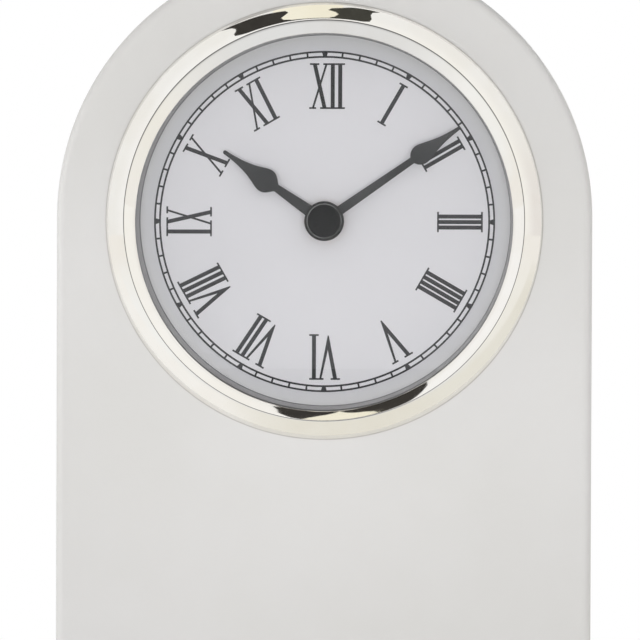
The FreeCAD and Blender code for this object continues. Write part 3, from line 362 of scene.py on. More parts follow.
def make_scuffs():
    tree, source, sink = new_group("scuffs", Scale=260.0, Amount=0.5)
    lines = 0.0
    for turn, squeeze in ((0.5, 0.05), (2.1, 0.035), (1.25, 0.06)):
        place = add(tree, "ShaderNodeMapping", {"Vector": object_place(tree), "Rotation": (turn, turn, turn),
                                                "Scale": (1.0, squeeze, squeeze)}).outputs[0]
        waves = noise(tree, source["Scale"], place, Detail=2.0, Distortion=0.4)
        crest = maths(tree, "ABSOLUTE", maths(tree, "SUBTRACT", waves, 0.5))
        lines = maths(tree, "MAXIMUM", window(tree, crest, 0.012, 0.0), lines)
    lines = maths(tree, "MULTIPLY", lines, window(tree, noise(tree, 60.0), 0.45, 0.7))
    return closed(tree, sink, Mask=maths(tree, "MULTIPLY", lines, source["Amount"]))


def make_turning():
    tree, source, sink = new_group("turning marks", Centre=tuple(dial_centre), Pitch=9000.0)
    tree.interface.new_socket("Radius", in_out="OUTPUT", socket_type="NodeSocketFloat")
    away = vectors(tree, "SUBTRACT", object_place(tree), source["Centre"])
    radius = vectors(tree, "LENGTH", vectors(tree, "MULTIPLY", away, (1.0, 0.0, 1.0)), result="Value")
    rings = add(tree, "ShaderNodeTexNoise", {"W": radius, "Scale": source["Pitch"], "Detail": 3.0},
                noise_dimensions="1D").outputs["Fac"]
    return closed(tree, sink, Mask=rings, Radius=radius)


def make_worn_edges():
    tree, source, sink = new_group("worn edges", Width=0.6 * MM, Patches=900.0)
    soft = add(tree, "ShaderNodeBevel", {"Radius": source["Width"]}, samples=4).outputs[0]
    true = add(tree, "ShaderNodeNewGeometry").outputs["Normal"]
    edge = window(tree, vectors(tree, "DOT_PRODUCT", soft, true, "Value"), 0.995, 0.8)
    patchy = window(tree, noise(tree, source["Patches"]), 0.4, 0.62)
    return closed(tree, sink, Mask=maths(tree, "MULTIPLY", edge, patchy))


def make_dust():
    tree, source, sink = new_group("dust", Amount=0.3)
    up = axes(tree, add(tree, "ShaderNodeNewGeometry").outputs["Normal"])["Z"]
    specks = window(tree, noise(tree, 2600.0, Detail=4.0), 0.42, 0.75)
    both = maths(tree, "MULTIPLY", specks, noise(tree, 55.0, Detail=3.0))
    lying = maths(tree, "MULTIPLY", window(tree, up, 0.35, 0.95), both)
    return closed(tree, sink, Mask=maths(tree, "MULTIPLY", lying, source["Amount"]))


mottle, grain, scuffs = make_mottle(), make_grain(), make_scuffs()
turning, worn_edges, dust = make_turning(), make_worn_edges(), make_dust()
print("shader groups:", len(bpy.data.node_groups))

# %% [markdown]
# Most finishes follow one recipe: a colour that wanders between two near tones, roughness that wanders too,
# a little relief, worn corners and some dust. One function cooks it, and each material brings its own
# numbers. Finishes that are more than this, such as the dial or the felt, have functions of their own
# further down.

# %% The common recipe
dust_tone = tone(176, 170, 160)


def finish(name, light, dark, rough, mottle_scale, grain_scale, relief, depth,
           edge=None, worn=0.6, dusty=0.3, scuff=0.0, stretch=(1.0, 1.0, 1.0), **plain):
    """A material from two tones, a roughness range, relief with a depth in mm, wear, dust and scratches."""
    material, tree = new_material(name, **plain)
    slow = use(tree, mottle, Scale=mottle_scale)
    fine = use(tree, grain, Scale=grain_scale, Stretch=stretch)
    mixed = maths(tree, "MULTIPLY_ADD", slow, 0.6, maths(tree, "MULTIPLY", fine, 0.4))
    colour = blended(tree, mixed, tone(*light), tone(*dark))
    shine = spread(tree, maths(tree, "MULTIPLY_ADD", slow, 0.5, maths(tree, "MULTIPLY", fine, 0.5)), *rough)
    if edge:
        bare = maths(tree, "MULTIPLY", use(tree, worn_edges), worn)
        colour = blended(tree, bare, colour, tone(*edge))
    if scuff:
        shine = maths(tree, "MULTIPLY_ADD", use(tree, scuffs, Amount=scuff), 0.35, shine)
    film = use(tree, dust, Amount=dusty)
    colour = blended(tree, film, colour, dust_tone)
    return cooked(material, colour, maths(tree, "MULTIPLY_ADD", film, 0.5, shine), fine, relief, depth)


# %% [markdown]
# The case is fibreboard, filled, sanded and sprayed. A sprayed coat is never quite flat: it has a faint
# orange peel of about a millimetre and a very slow waviness, and it collects a few hairlines and a breath
# of dust on top. The coat is clear, so it sits in the shader's coat layer and the colour lies under it.
# Where the bezel meets the board, a thin line of painted shade marks the joint.

# %% White lacquer
joint_shade = 0.45 * MM


def make_lacquer():
    material, tree = new_material("white_lacquer", Coat_Weight=0.35, Coat_Roughness=0.12, Coat_IOR=1.45)
    slow = use(tree, mottle, Scale=18.0)
    hair = use(tree, scuffs, Scale=150.0, Amount=0.6)
    colour = blended(tree, slow, tone(202, 201, 200), tone(199, 198, 196))
    colour = blended(tree, use(tree, dust, Amount=0.12), colour, dust_tone)
    # Painted shade: a thin dark ring round the foot of the bezel, where it meets the board.
    from_bezel = maths(tree, "SUBTRACT", use(tree, turning, "Radius"), bezel_radius)
    painted_joint_shade = window(tree, maths(tree, "ABSOLUTE", from_bezel), joint_shade, 0.0)
    colour = blended(tree, painted_joint_shade, colour, tone(150, 147, 142))
    shine = maths(tree, "MULTIPLY_ADD", hair, 0.2, spread(tree, slow, 0.3, 0.36))
    peel = noise(tree, 620.0, Detail=1.0)
    height = maths(tree, "MULTIPLY_ADD", use(tree, grain, Scale=7000.0), 0.15, peel)
    return cooked(material, colour, shine, height, 0.05, 0.2)


white_lacquer = make_lacquer()

# %% [markdown]
# The front board is one arched panel with its front edge rounded over with a router. It could be a box with
# a bevel, but the arch wants even steps. So one function gives the arched outline taken in by any inset,
# and the board is a stack of such outlines from the flat front, over the rounding, to the back. The two
# flat faces are filled between the outline and the bore for the dial.

# %% The front board
arch_steps, leg_steps, round_steps = 160, 24, 8
edge_round = 2.5 * MM
seam_ease = 0.15 * MM
support_loop = 0.4 * MM
bore_radius, bore_steps = 53.3 * MM, 192


def arched(inset, low):
    """The case outline taken in by the inset: up the left side, over the arch and down the right side."""
    half = arch_radius - inset
    left = [(-half, low + (spring_z - low) * i / leg_steps) for i in range(leg_steps)]
    arch = [(-half * math.cos(math.pi * i / arch_steps), spring_z + half * math.sin(math.pi * i / arch_steps))
            for i in range(arch_steps + 1)]
    return left + arch + [(-x, z) for x, z in left[::-1]]


def front_board_piece():
    """The lacquered board with its rounded front edge and the bore for the dial."""
    thickness = board_high.y - board_low.y
    profile = [(edge_round + support_loop, 0)] + quarter(edge_round, round_steps)
    profile += [(0, thickness - seam_ease), (seam_ease, thickness)]
    bm = bmesh.new()
    loops = [[bm.verts.new((x, front_y + depth, z)) for x, z in arched(inset, foot_z + inset)]
             for inset, depth in profile]
    for loop, following in zip(loops, loops[1:]):
        bridge(bm, loop, following)
    bores = [[bm.verts.new((x, front_y + depth, dial_z + z)) for x, z in circle(bore_radius, bore_steps)]
             for depth in (0, thickness)]
    bridge(bm, *bores)
    for loop, bore in ((loops[0], bores[0]), (loops[-1], bores[1])):
        corners = loop + bore
        for triangle in tessellate_polygon([[v.co for v in loop], [v.co for v in bore]]):
            bm.faces.new([corners[i] for i in triangle])
    return put("front_board_lacquered", bm)


dress(front_board_piece(), "clock_case", "white_lacquer", white_lacquer, "front_board")

# %% [markdown]
# Behind the board, a bent rim makes the sides and top. It is a constant section carried round the arch:
# outer wall, a softened back edge, the rebate that takes the back panel, the ledge and the inner wall. Near
# the foot the rebate stops, so the lowest stations of the sweep use the section without it.

# %% The arched rim
rim_wall = 9.0 * MM
rebate_inset, rebate_stop = 4.0 * MM, 4.0 * MM
back_ease, back_steps = 0.8 * MM, 4
ledge_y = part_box("back_panel")[0].y


def rim_piece():
    """The bent side wall with its rebate, open between the feet."""
    start, end, ledge = rim_low.y - front_y, rim_high.y - front_y, ledge_y - front_y
    outer = [(0, start + seam_ease)] + [(near, end - far) for far, near in quarter(back_ease, back_steps)]
    inner = [(rim_wall, start), (seam_ease, start)]
    rebated = outer + [(rebate_inset, end), (rebate_inset, ledge), (rim_wall, ledge)] + inner
    plain = outer + [(rebate_inset, end), (rebate_inset, end), (rim_wall, end)] + inner
    bars = [[(x, front_y + depth, z) for x, z in arched(inset, foot_z + rebate_stop)]
            for inset, depth in rebated]
    feet = [[[(hand * (arch_radius - inset), front_y + depth, z) for inset, depth in plain]
             for z in (foot_z, foot_z + rebate_stop)] for hand in (-1, 1)]
    bm = bmesh.new()
    stations = feet[0] + list(zip(*bars)) + feet[1][::-1]
    loops = [[bm.verts.new(place) for place in station] for station in stations]
    for loop, following in zip(loops, loops[1:]):
        bridge(bm, loop, following)
    bm.faces.new(loops[0])
    bm.faces.new(loops[-1])
    bmesh.ops.dissolve_degenerate(bm, dist=weld, edges=bm.edges)
    return put("arch_rim_lacquered", bm)


dress(rim_piece(), "clock_case", "white_lacquer", white_lacquer, "arch_rim")
paint(white_lacquer, "base_board")

# %% [markdown]
# The bezel is thin sheet, spun over a former and nickel plated, then buffed. Buffing leaves hairlines that
# run round the ring and a very slight waviness that bends reflections at their ends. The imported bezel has
# facets, and a mirror would show them, so it is turned again here with 512 steps and eased corners. In the
# photograph its opening lies a little low, so the lip is shifted down and the inner band takes up the
# difference.

# %% Polished nickel and the bezel
outer_band, inner_band = 5.0 * MM, 3.0 * MM
outer_bulge, inner_bulge = 0.22 * MM, 0.16 * MM
bezel_wall, bezel_skirt = 0.8 * MM, 1.0 * MM
lip_drop, lip_seat, lip_sag = 1.9 * MM, 2.2 * MM, 0.4 * MM
hollow_rise = 1.4 * MM
skirt_ease, ridge_ease, lip_ease = 0.15 * MM, 0.28 * MM, 0.12 * MM
proud = bezel_low.y - front_y
skirt_top = (bezel_radius, -bezel_skirt)
ridge = (bezel_radius - outer_band, proud)
lip = (ridge[0] - inner_band, proud + lip_drop)


def make_nickel():
    material, tree = new_material("polished_nickel", Metallic=1.0)
    marks = use(tree, turning, Pitch=5200.0)
    slow = use(tree, mottle, Scale=70.0)
    hair = use(tree, scuffs, Scale=420.0, Amount=0.5)
    colour = blended(tree, slow, tone(245, 243, 240), tone(242, 239, 234))
    buffed = spread(tree, maths(tree, "MULTIPLY", marks, slow), 0.035, 0.075)
    height = maths(tree, "MULTIPLY_ADD", marks, 0.0006, noise(tree, 55.0, Detail=1.0))
    return cooked(material, colour, maths(tree, "MULTIPLY_ADD", hair, 0.12, buffed), height, 0.35, 0.12)


def shifted(piece, start_radius, end_radius, right, up):
    """A turned piece with its opening off centre: the shift grows from the start radius to the end radius."""
    for vertex in piece.data.vertices:
        radius = math.hypot(vertex.co.x, vertex.co.z - dial_z)
        share = min(max((start_radius - radius) / (start_radius - end_radius), 0), 1)
        vertex.co += Vector((right * share, 0, up * share))
    return piece


def bezel_piece():
    """The ring: skirt, bowed outer band, ridge, bowed inner band and the lip over the glass."""
    lip_back, hollow_radius = lip[1] + bezel_wall, bezel_radius - bezel_wall
    outline = [(bezel_radius, 0, 0), (*skirt_top, skirt_ease)]
    outline += [(*point, 0) for point in bowed(skirt_top, ridge, outer_bulge)] + [(*ridge, ridge_ease)]
    outline += [(*point, 0) for point in bowed(ridge, lip, inner_bulge)] + [(*lip, lip_ease)]
    outline += [(lip[0], lip_back, 0), (lip[0] + lip_seat, lip_back, 0),
                (ridge[0], lip_back - hollow_rise, 0), (hollow_radius, bezel_wall / 2 - bezel_skirt, 0),
                (hollow_radius, 0, 0)]
    return shifted(turned("bezel_spun", eased(outline), steps=512), ridge[0], lip[0], 0, -lip_sag)


dress(bezel_piece(), "clock_case", "polished_nickel", make_nickel(), "bezel")

# %% [markdown]
# Behind the glass stands the sight ring, a satin grey wall that hides the edge of the dial. It is turned
# too, so it shares the turning marks, with far more roughness than the bezel. Its colour is painted darker
# towards the dial, painted shade where little light gets in, and its foot sits slightly off centre, as in
# the photograph.

# %% The sight ring
ring_low, ring_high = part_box("sight_ring")
ring_wall, ring_taper, ring_ease = 1.2 * MM, 0.45 * MM, 0.15 * MM
ring_right, ring_lift = 0.2 * MM, 0.32 * MM
shade_start, shade_end = 2.2 * MM, 0.6 * MM


def make_ring_grey():
    material, tree = new_material("ring_grey", Metallic=0.6)
    marks = use(tree, turning, Pitch=7000.0)
    colour = blended(tree, use(tree, mottle, Scale=50.0), tone(180, 178, 178), tone(178, 176, 178))
    # Painted shade: the ring's colour darkens towards the dial.
    depth = axes(tree, object_place(tree))["Y"]
    foot = window(tree, depth, ring_high.y - shade_start, ring_high.y - shade_end)
    colour = blended(tree, foot, colour, tone(96, 95, 97))
    return cooked(material, colour, spread(tree, marks, 0.32, 0.5), marks, 0.15, 0.03)


def sight_ring_piece():
    """The spacer between glass and dial, closing in a little towards the dial, with a soft front corner."""
    outer = (ring_high.z - ring_low.z) / 2
    inner = outer - ring_wall
    near, far = ring_low.y - front_y, ring_high.y - front_y
    corners = [(inner, near, ring_ease), (outer, near, ring_ease), (outer, far, 0),
               (inner - ring_taper, far, 0)]
    piece = turned("sight_ring_turned", eased(corners), steps=384)
    return shifted(piece, inner, inner - ring_taper, ring_right, ring_lift)


dress(sight_ring_piece(), "clock_case", "ring_grey", make_ring_grey(), "sight_ring")

# %% [markdown]
# The dial is a thin metal disc with a silvered, finely grained face. The margin outside the minute track is
# painted a touch darker than the middle, painted shade where the light has to pass the edge of the bezel,
# and painted a little lighter towards the dial's edge, painted light that offsets the shade the bezel casts
# there. Silver paint is tiny flakes in lacquer, so its grain goes into the colour, the roughness and a
# trace of relief.

# %% The silvered dial
track_outer, dial_edge = 46.37 * MM, 50.4 * MM
margin_fade, margin_start = 0.6 * MM, 0.3 * MM


def make_dial_silver():
    material, tree = new_material("dial_silver", Metallic=0.15)
    radius = use(tree, turning, "Radius")
    flakes = use(tree, grain, Scale=9000.0)
    face = blended(tree, use(tree, mottle, Scale=14.0), tone(244, 241, 246), tone(240, 237, 242))
    # Painted shade and light: the margin is darker than the face, and lighter towards the dial's edge.
    margin = blended(tree, window(tree, radius, track_outer - margin_start, dial_edge),
                     tone(227, 225, 230), tone(232, 230, 232))
    colour = blended(tree, window(tree, radius, track_outer - margin_fade, track_outer), face, margin)
    speckled = blended(tree, spread(tree, flakes, 0.0, 0.16), colour, tone(140, 140, 146))
    return cooked(material, speckled, spread(tree, flakes, 0.38, 0.6), flakes, 0.06, 0.03)


paint(make_dial_silver(), "dial_plate")

# %% [markdown]
# The print is pad-printed ink: nearly flat, slightly glossy, a little thinner in places so that the silver
# breaks through as a softer grey. Twelve o'clock is printed most strongly. The soft pad also presses the
# fine lines of the minute track a little wider than they were drawn, so their outlines are moved outwards.

# %% Printed ink
ink_spread = 0.04 * MM
strong_bottom, strong_full = dial_z + 28 * MM, dial_z + 30 * MM
strong_side, strong_middle = 7 * MM, 5 * MM
steep, flat_side = 0.5, 0.1


def make_ink():
    material, tree = new_material("dial_ink", Specular_IOR_Level=0.35)
    fine = use(tree, grain, Scale=6000.0)
    across, _, up = axes(tree, object_place(tree))
    high = window(tree, up, strong_bottom, strong_full)
    near = window(tree, maths(tree, "ABSOLUTE", across), strong_side, strong_middle)
    thin = blended(tree, use(tree, mottle, Scale=90.0), tone(56, 55, 58), tone(47, 46, 49))
    colour = blended(tree, maths(tree, "MULTIPLY", high, near), thin, tone(16, 15, 18))
    colour = blended(tree, spread(tree, fine, 0.0, 0.12), colour, tone(120, 120, 124))
    return cooked(material, colour, spread(tree, fine, 0.4, 0.6), fine, 0.05, 0.02)


def spread_ink(node, width, name):
    """A copy of a packed print whose outlines are moved outwards in its plane."""
    bm = packed_copy(node)
    bm.normal_update()
    for vertex in bm.verts:
        sides = [face.normal for face in vertex.link_faces if abs(face.normal.y) < steep]
        away = sum((Vector((side.x, 0, side.z)) for side in sides), Vector())
        if away.length > flat_side:
            vertex.co += away.normalized() * width
    return put(name, bm)


dial_ink = make_ink()
dress(spread_ink("minute_track", ink_spread, "minute_track_printed"), "clock_case", "dial_ink", dial_ink,
      "minute_track")
paint(dial_ink, "roman_numerals")

# %% [markdown]
# The hands are stamped from thin sheet and painted a soft black. Stamping leaves one edge slightly rolled,
# so their packed plates are copied, cleaned of their triangles and given a fine bevel. The bevel needs long
# clean edges, which is why flat faces are dissolved into one first.

# %% Stamped hands
def softened(node, width, name):
    """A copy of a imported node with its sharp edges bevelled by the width."""
    bm = packed_copy(node)
    bmesh.ops.dissolve_limit(bm, angle_limit=math.radians(1), verts=bm.verts, edges=bm.edges)
    sharp = [edge for edge in bm.edges if len(edge.link_faces) == 2 and edge.calc_face_angle(0) > crisp]
    bmesh.ops.bevel(bm, geom=sharp, offset=width, segments=2, profile=0.5, affect="EDGES", clamp_overlap=True)
    bmesh.ops.triangulate(bm, faces=[face for face in bm.faces if len(face.verts) > 4])
    return put(name, bm)


hand_black = finish("hand_black", (76, 76, 78), (48, 48, 50), (0.42, 0.58), 70, 5200, 0.2, 0.03,
                    edge=(92, 92, 93), worn=0.35, dusty=0.1, Specular_IOR_Level=0.3)
stamp_roll = 0.07 * MM
for node, body in (("hour_hand", "hour_works"), ("minute_hand", "minute_works")):
    dress(softened(node, stamp_roll, node + "_stamped"), body, "hand_black", hand_black, node)

# %% [markdown]
# The cap over the hub is turned: a chamfered rim, a narrow rounded lip and a dished face. Its colour has
# painted highlights: the chamfer is painted lighter than the face, and a bright ring is painted on the lip.

# %% The hub cap
cap_radius = (cap_high.z - cap_low.z) / 2
cap_face, cap_lip = 4.65 * MM, 0.5 * MM
cap_dish, dish_steps = 0.25 * MM, 10
cap_thickness = 1.4 * MM
plug_radius = 1.67 * MM
# Where the painted light on the chamfer starts, and the place and width of the painted highlight ring on the
# lip.
painted_chamfer_light_start = cap_face + 0.2 * MM
painted_glint_radius, painted_glint_reach, painted_glint_core = cap_face - 0.05 * MM, 0.15 * MM, 0.04 * MM


def cap_piece():
    """Dished cap with its plug."""
    front, plug_end = cap_low.y - front_y, cap_high.y - front_y
    back, shoulder = front + cap_thickness, front + cap_thickness / 2
    rim = eased([(cap_face - cap_lip, front, 0.06 * MM), (cap_face, front, 0.1 * MM),
                 (cap_radius, shoulder, 0.12 * MM), (cap_radius, back, 0.1 * MM),
                 (plug_radius, back, 0), (plug_radius, plug_end, 0)], steps=4)
    shares = [i / dish_steps for i in range(dish_steps)]
    hollow = [((cap_face - cap_lip) * share, front + cap_dish * (1 - share ** 2)) for share in shares]
    return turned("hand_cap_turned", hollow + rim + [(0, plug_end)], steps=160)


def make_cap_black():
    material, tree = new_material("cap_black", Specular_IOR_Level=0.1)
    radius = use(tree, turning, "Radius")
    slow = use(tree, mottle, Scale=120.0)
    fine = use(tree, grain, Scale=6000.0)
    colour = blended(tree, slow, tone(12, 12, 13), tone(6, 6, 8))
    # Painted highlight: the chamfer is painted lighter than the face.
    colour = blended(tree, window(tree, radius, cap_face, painted_chamfer_light_start), colour, tone(46, 46, 47))
    # Painted highlight: a bright ring on the lip.
    off_lip = maths(tree, "ABSOLUTE", maths(tree, "SUBTRACT", radius, painted_glint_radius))
    painted_glint = window(tree, off_lip, painted_glint_reach, painted_glint_core)
    painted_glint = maths(tree, "MULTIPLY", painted_glint, spread(tree, slow, 0.15, 1.0))
    colour = blended(tree, painted_glint, colour, tone(140, 140, 139))
    height = maths(tree, "MULTIPLY_ADD", fine, 0.4, use(tree, turning, Pitch=6000.0))
    return cooked(material, colour, spread(tree, fine, 0.2, 0.34), height, 0.08, 0.02)


dress(cap_piece(), "minute_works", "hand_black", make_cap_black(), "hand_cap")

# %% [markdown]
# The glass is flat and clean. Light has to reach the dial through it, and a path tracer would need long
# chance paths for that, so rays that only ask whether a lamp is visible pass straight through. Camera rays
# still meet real glass with its faint mirror.

# %% Clear glass
def make_glass():
    material, tree = new_material("clear_glass", Transmission_Weight=1.0, IOR=1.46)
    film = use(tree, scuffs, Scale=200.0, Amount=0.3)
    shine = maths(tree, "MULTIPLY_ADD", film, 0.03, spread(tree, use(tree, mottle, Scale=30.0), 0.0, 0.004))
    cooked(material, (0.985, 0.992, 0.99, 1.0), shine)
    clear = add(tree, "ShaderNodeBsdfTransparent", {"Color": (0.97, 0.98, 0.975, 1.0)})
    shadow = add(tree, "ShaderNodeLightPath").outputs["Is Shadow Ray"]
    surfaced(tree, shadow, tree.nodes["Principled BSDF"], clear)
    return material


paint(make_glass(), "dial_glass")

# %% [markdown]
# Inside and behind, each piece gets the finish of its trade: moulded black plastic with a spark-eroded
# tooth, zinc-plated steel, turned brass, acetal wheels, ferrite, silicon iron, and for the back panel a
# coat of matt paint whose roller left a stipple. They all follow the common recipe, so they are rows of one
# table.

# %% Working finishes
metal = {"Metallic": 1.0}
finishes = {}
for name, *recipe, extras, nodes in (
        ("black_plastic", (44, 44, 46), (36, 36, 38), (0.42, 0.6), 40, 2600, 0.35, 0.04,
         {"edge": (84, 84, 86), "worn": 0.4, "scuff": 0.4},
         "movement_housing movement_cover coil_bobbin set_knob"),
        ("pan_plastic", (196, 194, 188), (184, 181, 174), (0.45, 0.6), 40, 2200, 0.2, 0.04, {},
         "dial_pan middle_plate"),
        ("wheel_plastic", (236, 233, 224), (226, 222, 210), (0.3, 0.42), 40, 3000, 0.08, 0.02,
         {"Subsurface_Weight": 0.15, "Subsurface_Scale": 0.002},
         "hour_wheel centre_wheel reduction_wheel third_wheel fourth_wheel intermediate_wheel rotor"),
        ("screw_steel", (196, 196, 192), (168, 170, 172), (0.24, 0.42), 500, 3500, 0.15, 0.02,
         {"edge": (214, 214, 210), "worn": 0.5, **metal}, ""),
        ("clip_steel", (170, 172, 174), (146, 149, 152), (0.28, 0.46), 40, 5000, 0.15, 0.02,
         {"stretch": (1.0, 1.0, 0.08), **metal}, "pan_clips"),
        ("brass", (214, 178, 104), (190, 150, 82), (0.2, 0.38), 300, 4200, 0.1, 0.02,
         {"edge": (232, 204, 140), **metal}, "hour_collet minute_collet centre_bush centre_nut dial_washer"),
        ("black_rubber", (34, 34, 34), (27, 27, 27), (0.7, 0.9), 40, 3200, 0.4, 0.05, {"dusty": 0.5},
         "glass_gasket rubber_washer"),
        ("magnet", (58, 58, 60), (44, 44, 46), (0.45, 0.7), 40, 5200, 0.4, 0.03, {}, "rotor_magnet"),
        ("soft_iron", (150, 148, 146), (120, 119, 118), (0.35, 0.55), 40, 5200, 0.2, 0.02,
         {"stretch": (0.06, 1.0, 1.0), **metal}, "stator coil_core"),
        ("can_metal", (206, 206, 204), (188, 188, 188), (0.18, 0.32), 40, 4200, 0.06, 0.01, metal,
         "quartz_crystal"),
        ("resin_black", (30, 29, 29), (22, 22, 22), (0.18, 0.4), 400, 3000, 0.15, 0.05, {}, "control_chip"),
        ("contact_nickel", (214, 212, 204), (194, 190, 180), (0.2, 0.36), 200, 4200, 0.08, 0.02,
         {"scuff": 0.6, **metal}, "contact_positive contact_negative"),
        ("panel_paint", (206, 203, 197), (198, 195, 188), (0.55, 0.75), 30, 900, 0.5, 0.12,
         {"edge": (150, 128, 100), "worn": 0.5, "dusty": 0.35, "scuff": 0.5}, "back_panel"),
        ("raw_board", (186, 158, 120), (150, 122, 88), (0.8, 0.95), 120, 1400, 0.5, 0.15,
         {"stretch": (1.0, 0.35, 1.0), "dusty": 0.4}, "glue_blocks"),
        ("copper", (190, 104, 62), (160, 80, 44), (0.22, 0.34), 600, 3000, 0.05, 0.01,
         {"dusty": 0.2, "Coat_Weight": 0.5, **metal}, "")):
    finishes[name] = finish(name, *recipe, **extras)
    paint(finishes[name], *nodes.split())

# %% [markdown]
# The circuit board is green varnish over copper runs. They are drawn by a brick pattern, whose mortar
# stands for the runs and is only a shade lighter than the board.

# %% The circuit board
def make_board_green():
    material, tree = new_material("board_green", Coat_Weight=0.3, Coat_Roughness=0.2)
    upright = add(tree, "ShaderNodeMapping", {"Vector": object_place(tree), "Rotation": (math.pi / 2, 0, 0)})
    runs = add(tree, "ShaderNodeTexBrick", {
        "Vector": upright.outputs[0], "Color1": (0, 0, 0, 1), "Color2": (0.2, 0.2, 0.2, 1),
        "Mortar": (1, 1, 1, 1), "Scale": 420.0, "Mortar Size": 0.06, "Mortar Smooth": 0.2}).outputs["Color"]
    slow = use(tree, mottle, Scale=200.0)
    varnish = blended(tree, slow, tone(34, 92, 58), tone(28, 80, 50))
    colour = blended(tree, maths(tree, "MULTIPLY", runs, 0.6), varnish, tone(88, 146, 84))
    return cooked(material, colour, spread(tree, slow, 0.25, 0.4), runs, 0.3, 0.05)


paint(make_board_green(), "circuit_board")

# %% [markdown]
# The hatch is a plastic moulding. Sharp packed edges would look cut from card, so it gets the fine bevel
# that a mould gives every corner.

# %% The battery hatch
mould_radius = 0.25 * MM
dress(softened("battery_hatch", mould_radius, "battery_hatch_moulded"), "hatch", "black_plastic",
      finishes["black_plastic"], "battery_hatch")

# %% [markdown]
# Geometry Nodes build what repeats: screws, wire and fibres. Each tree has named inputs and runs on a
# carrier object, and its result is kept as a plain mesh.

# %% Helpers for node geometry
def geometry_tree(name, **inputs):
    """An empty geometry tree with its input and output; inputs are name: (socket type, default)."""
    tree = bpy.data.node_groups.new(name, "GeometryNodeTree")
    for way in ("INPUT", "OUTPUT"):
        tree.interface.new_socket("Geometry", in_out=way, socket_type="NodeSocketGeometry")
    for label, (kind, default) in inputs.items():
        socket = tree.interface.new_socket(label, in_out="INPUT", socket_type="NodeSocket" + kind)
        if default is not None:
            socket.default_value = default
    return tree, tree.nodes.new("NodeGroupInput").outputs, tree.nodes.new("NodeGroupOutput")


def coated(tree, geometry, material, sink):
    """The tree, closed by giving its geometry the material."""
    painted = add(tree, "GeometryNodeSetMaterial", {"Geometry": geometry, "Material": material})
    return closed(tree, sink, Geometry=painted.outputs[0])


def applied(piece, modifier):
    """The piece with the modifier's result as its plain mesh."""
    mesh = bpy.data.meshes.new_from_object(piece.evaluated_get(bpy.context.evaluated_depsgraph_get()))
    piece.modifiers.remove(modifier)
    piece.data = mesh
    return piece


def grown(piece, tree, **values):
    """Runs a geometry tree on a piece."""
    modifier = piece.modifiers.new(tree.name, "NODES")
    modifier.node_group = tree
    named = {item.name: item.identifier for item in tree.interface.items_tree if item.in_out == "INPUT"}
    for key, value in values.items():
        modifier[named[key]] = value
    return applied(piece, modifier)


def at_points(name, points):
    """An object with a bare vertex at each point."""
    mesh = bpy.data.meshes.new(name)
    mesh.from_pydata([tuple(point) for point in points], [], [])
    return linked(name, mesh)


# %% [markdown]
# Six screws hold the back panel and four the clips inside, and nobody drives them all to the same angle.
# One screw is turned with its crossed slot cut by a boolean, and Geometry Nodes put a copy at each place,
# each turned by its own amount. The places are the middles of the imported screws, so they can't drift from
# the holes.

# %% Screws
slot_length, slot_width, slot_depth, slot_closing = 2.6 * MM, 0.6 * MM, 1.5 * MM, 0.6


def loose_parts(node):
    """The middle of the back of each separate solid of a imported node."""
    bm = packed_copy(node)
    middles, seen = [], set()
    for vertex in bm.verts:
        group, waiting = [], [vertex]
        if vertex in seen:
            continue
        seen.add(vertex)
        while waiting:
            here = waiting.pop()
            group.append(here.co.copy())
            fresh = {edge.other_vert(here) for edge in here.link_edges} - seen
            seen |= fresh
            waiting += fresh
        low, high = [[pick(axis) for axis in zip(*group)] for pick in (min, max)]
        middles.append(((low[0] + high[0]) / 2, high[1], (low[2] + high[2]) / 2))
    bm.free()
    return middles


def screw_model(head_radius, head_height, shank_radius, grip):
    """One pan-head screw with its head's top at the origin, driven along -Y, with a crossed slot."""
    tip = -head_height - grip
    corners = [(0, tip, 0), (shank_radius * 0.3, tip, 0), (shank_radius, tip + shank_radius, 0),
               (shank_radius, -head_height, 0), (head_radius, -head_height, 0.1 * MM),
               (head_radius, -head_height * 0.35, 0.4 * MM), (head_radius * 0.6, 0, 0.8 * MM), (0, 0, 0)]
    screw = turned("screw_model", eased(corners, steps=4), steps=40, centre=Vector())
    bm = bmesh.new()
    for length, width in ((slot_length, slot_width), (slot_width, slot_length)):
        for vertex in bmesh.ops.create_cube(bm, size=1.0)["verts"]:
            share = slot_closing if vertex.co.y < 0 else 1.0
            vertex.co = Vector((vertex.co.x * length * share, vertex.co.y * slot_depth,
                                vertex.co.z * width * share))
    cutter = linked("slot_cutter", mesh_of("slot_cutter", bm))
    cut = screw.modifiers.new("slot", "BOOLEAN")
    cut.object, cut.operation, cut.solver, cut.use_self = cutter, "DIFFERENCE", "EXACT", True
    applied(screw, cut)
    bpy.data.objects.remove(cutter)
    return screw


def screw_tree(material):
    """Puts the screw at every point, each turned about its own axis."""
    tree, source, sink = geometry_tree("driven screws", Screw=("Object", None), Most_turn=("Float", 1.5),
                                       Seed=("Int", 3))
    model = add(tree, "GeometryNodeObjectInfo", {"Object": source["Screw"]})
    turn = add(tree, "FunctionNodeRandomValue", {3: source["Most_turn"], "Seed": source["Seed"]},
               data_type="FLOAT")
    angles = add(tree, "ShaderNodeCombineXYZ", {"Y": turn.outputs[1]})
    placed = add(tree, "GeometryNodeInstanceOnPoints", {"Points": source["Geometry"],
                                                        "Instance": model.outputs["Geometry"],
                                                        "Rotation": angles.outputs[0]})
    real = add(tree, "GeometryNodeRealizeInstances", {0: placed.outputs[0]})
    return coated(tree, real.outputs[0], material, sink)


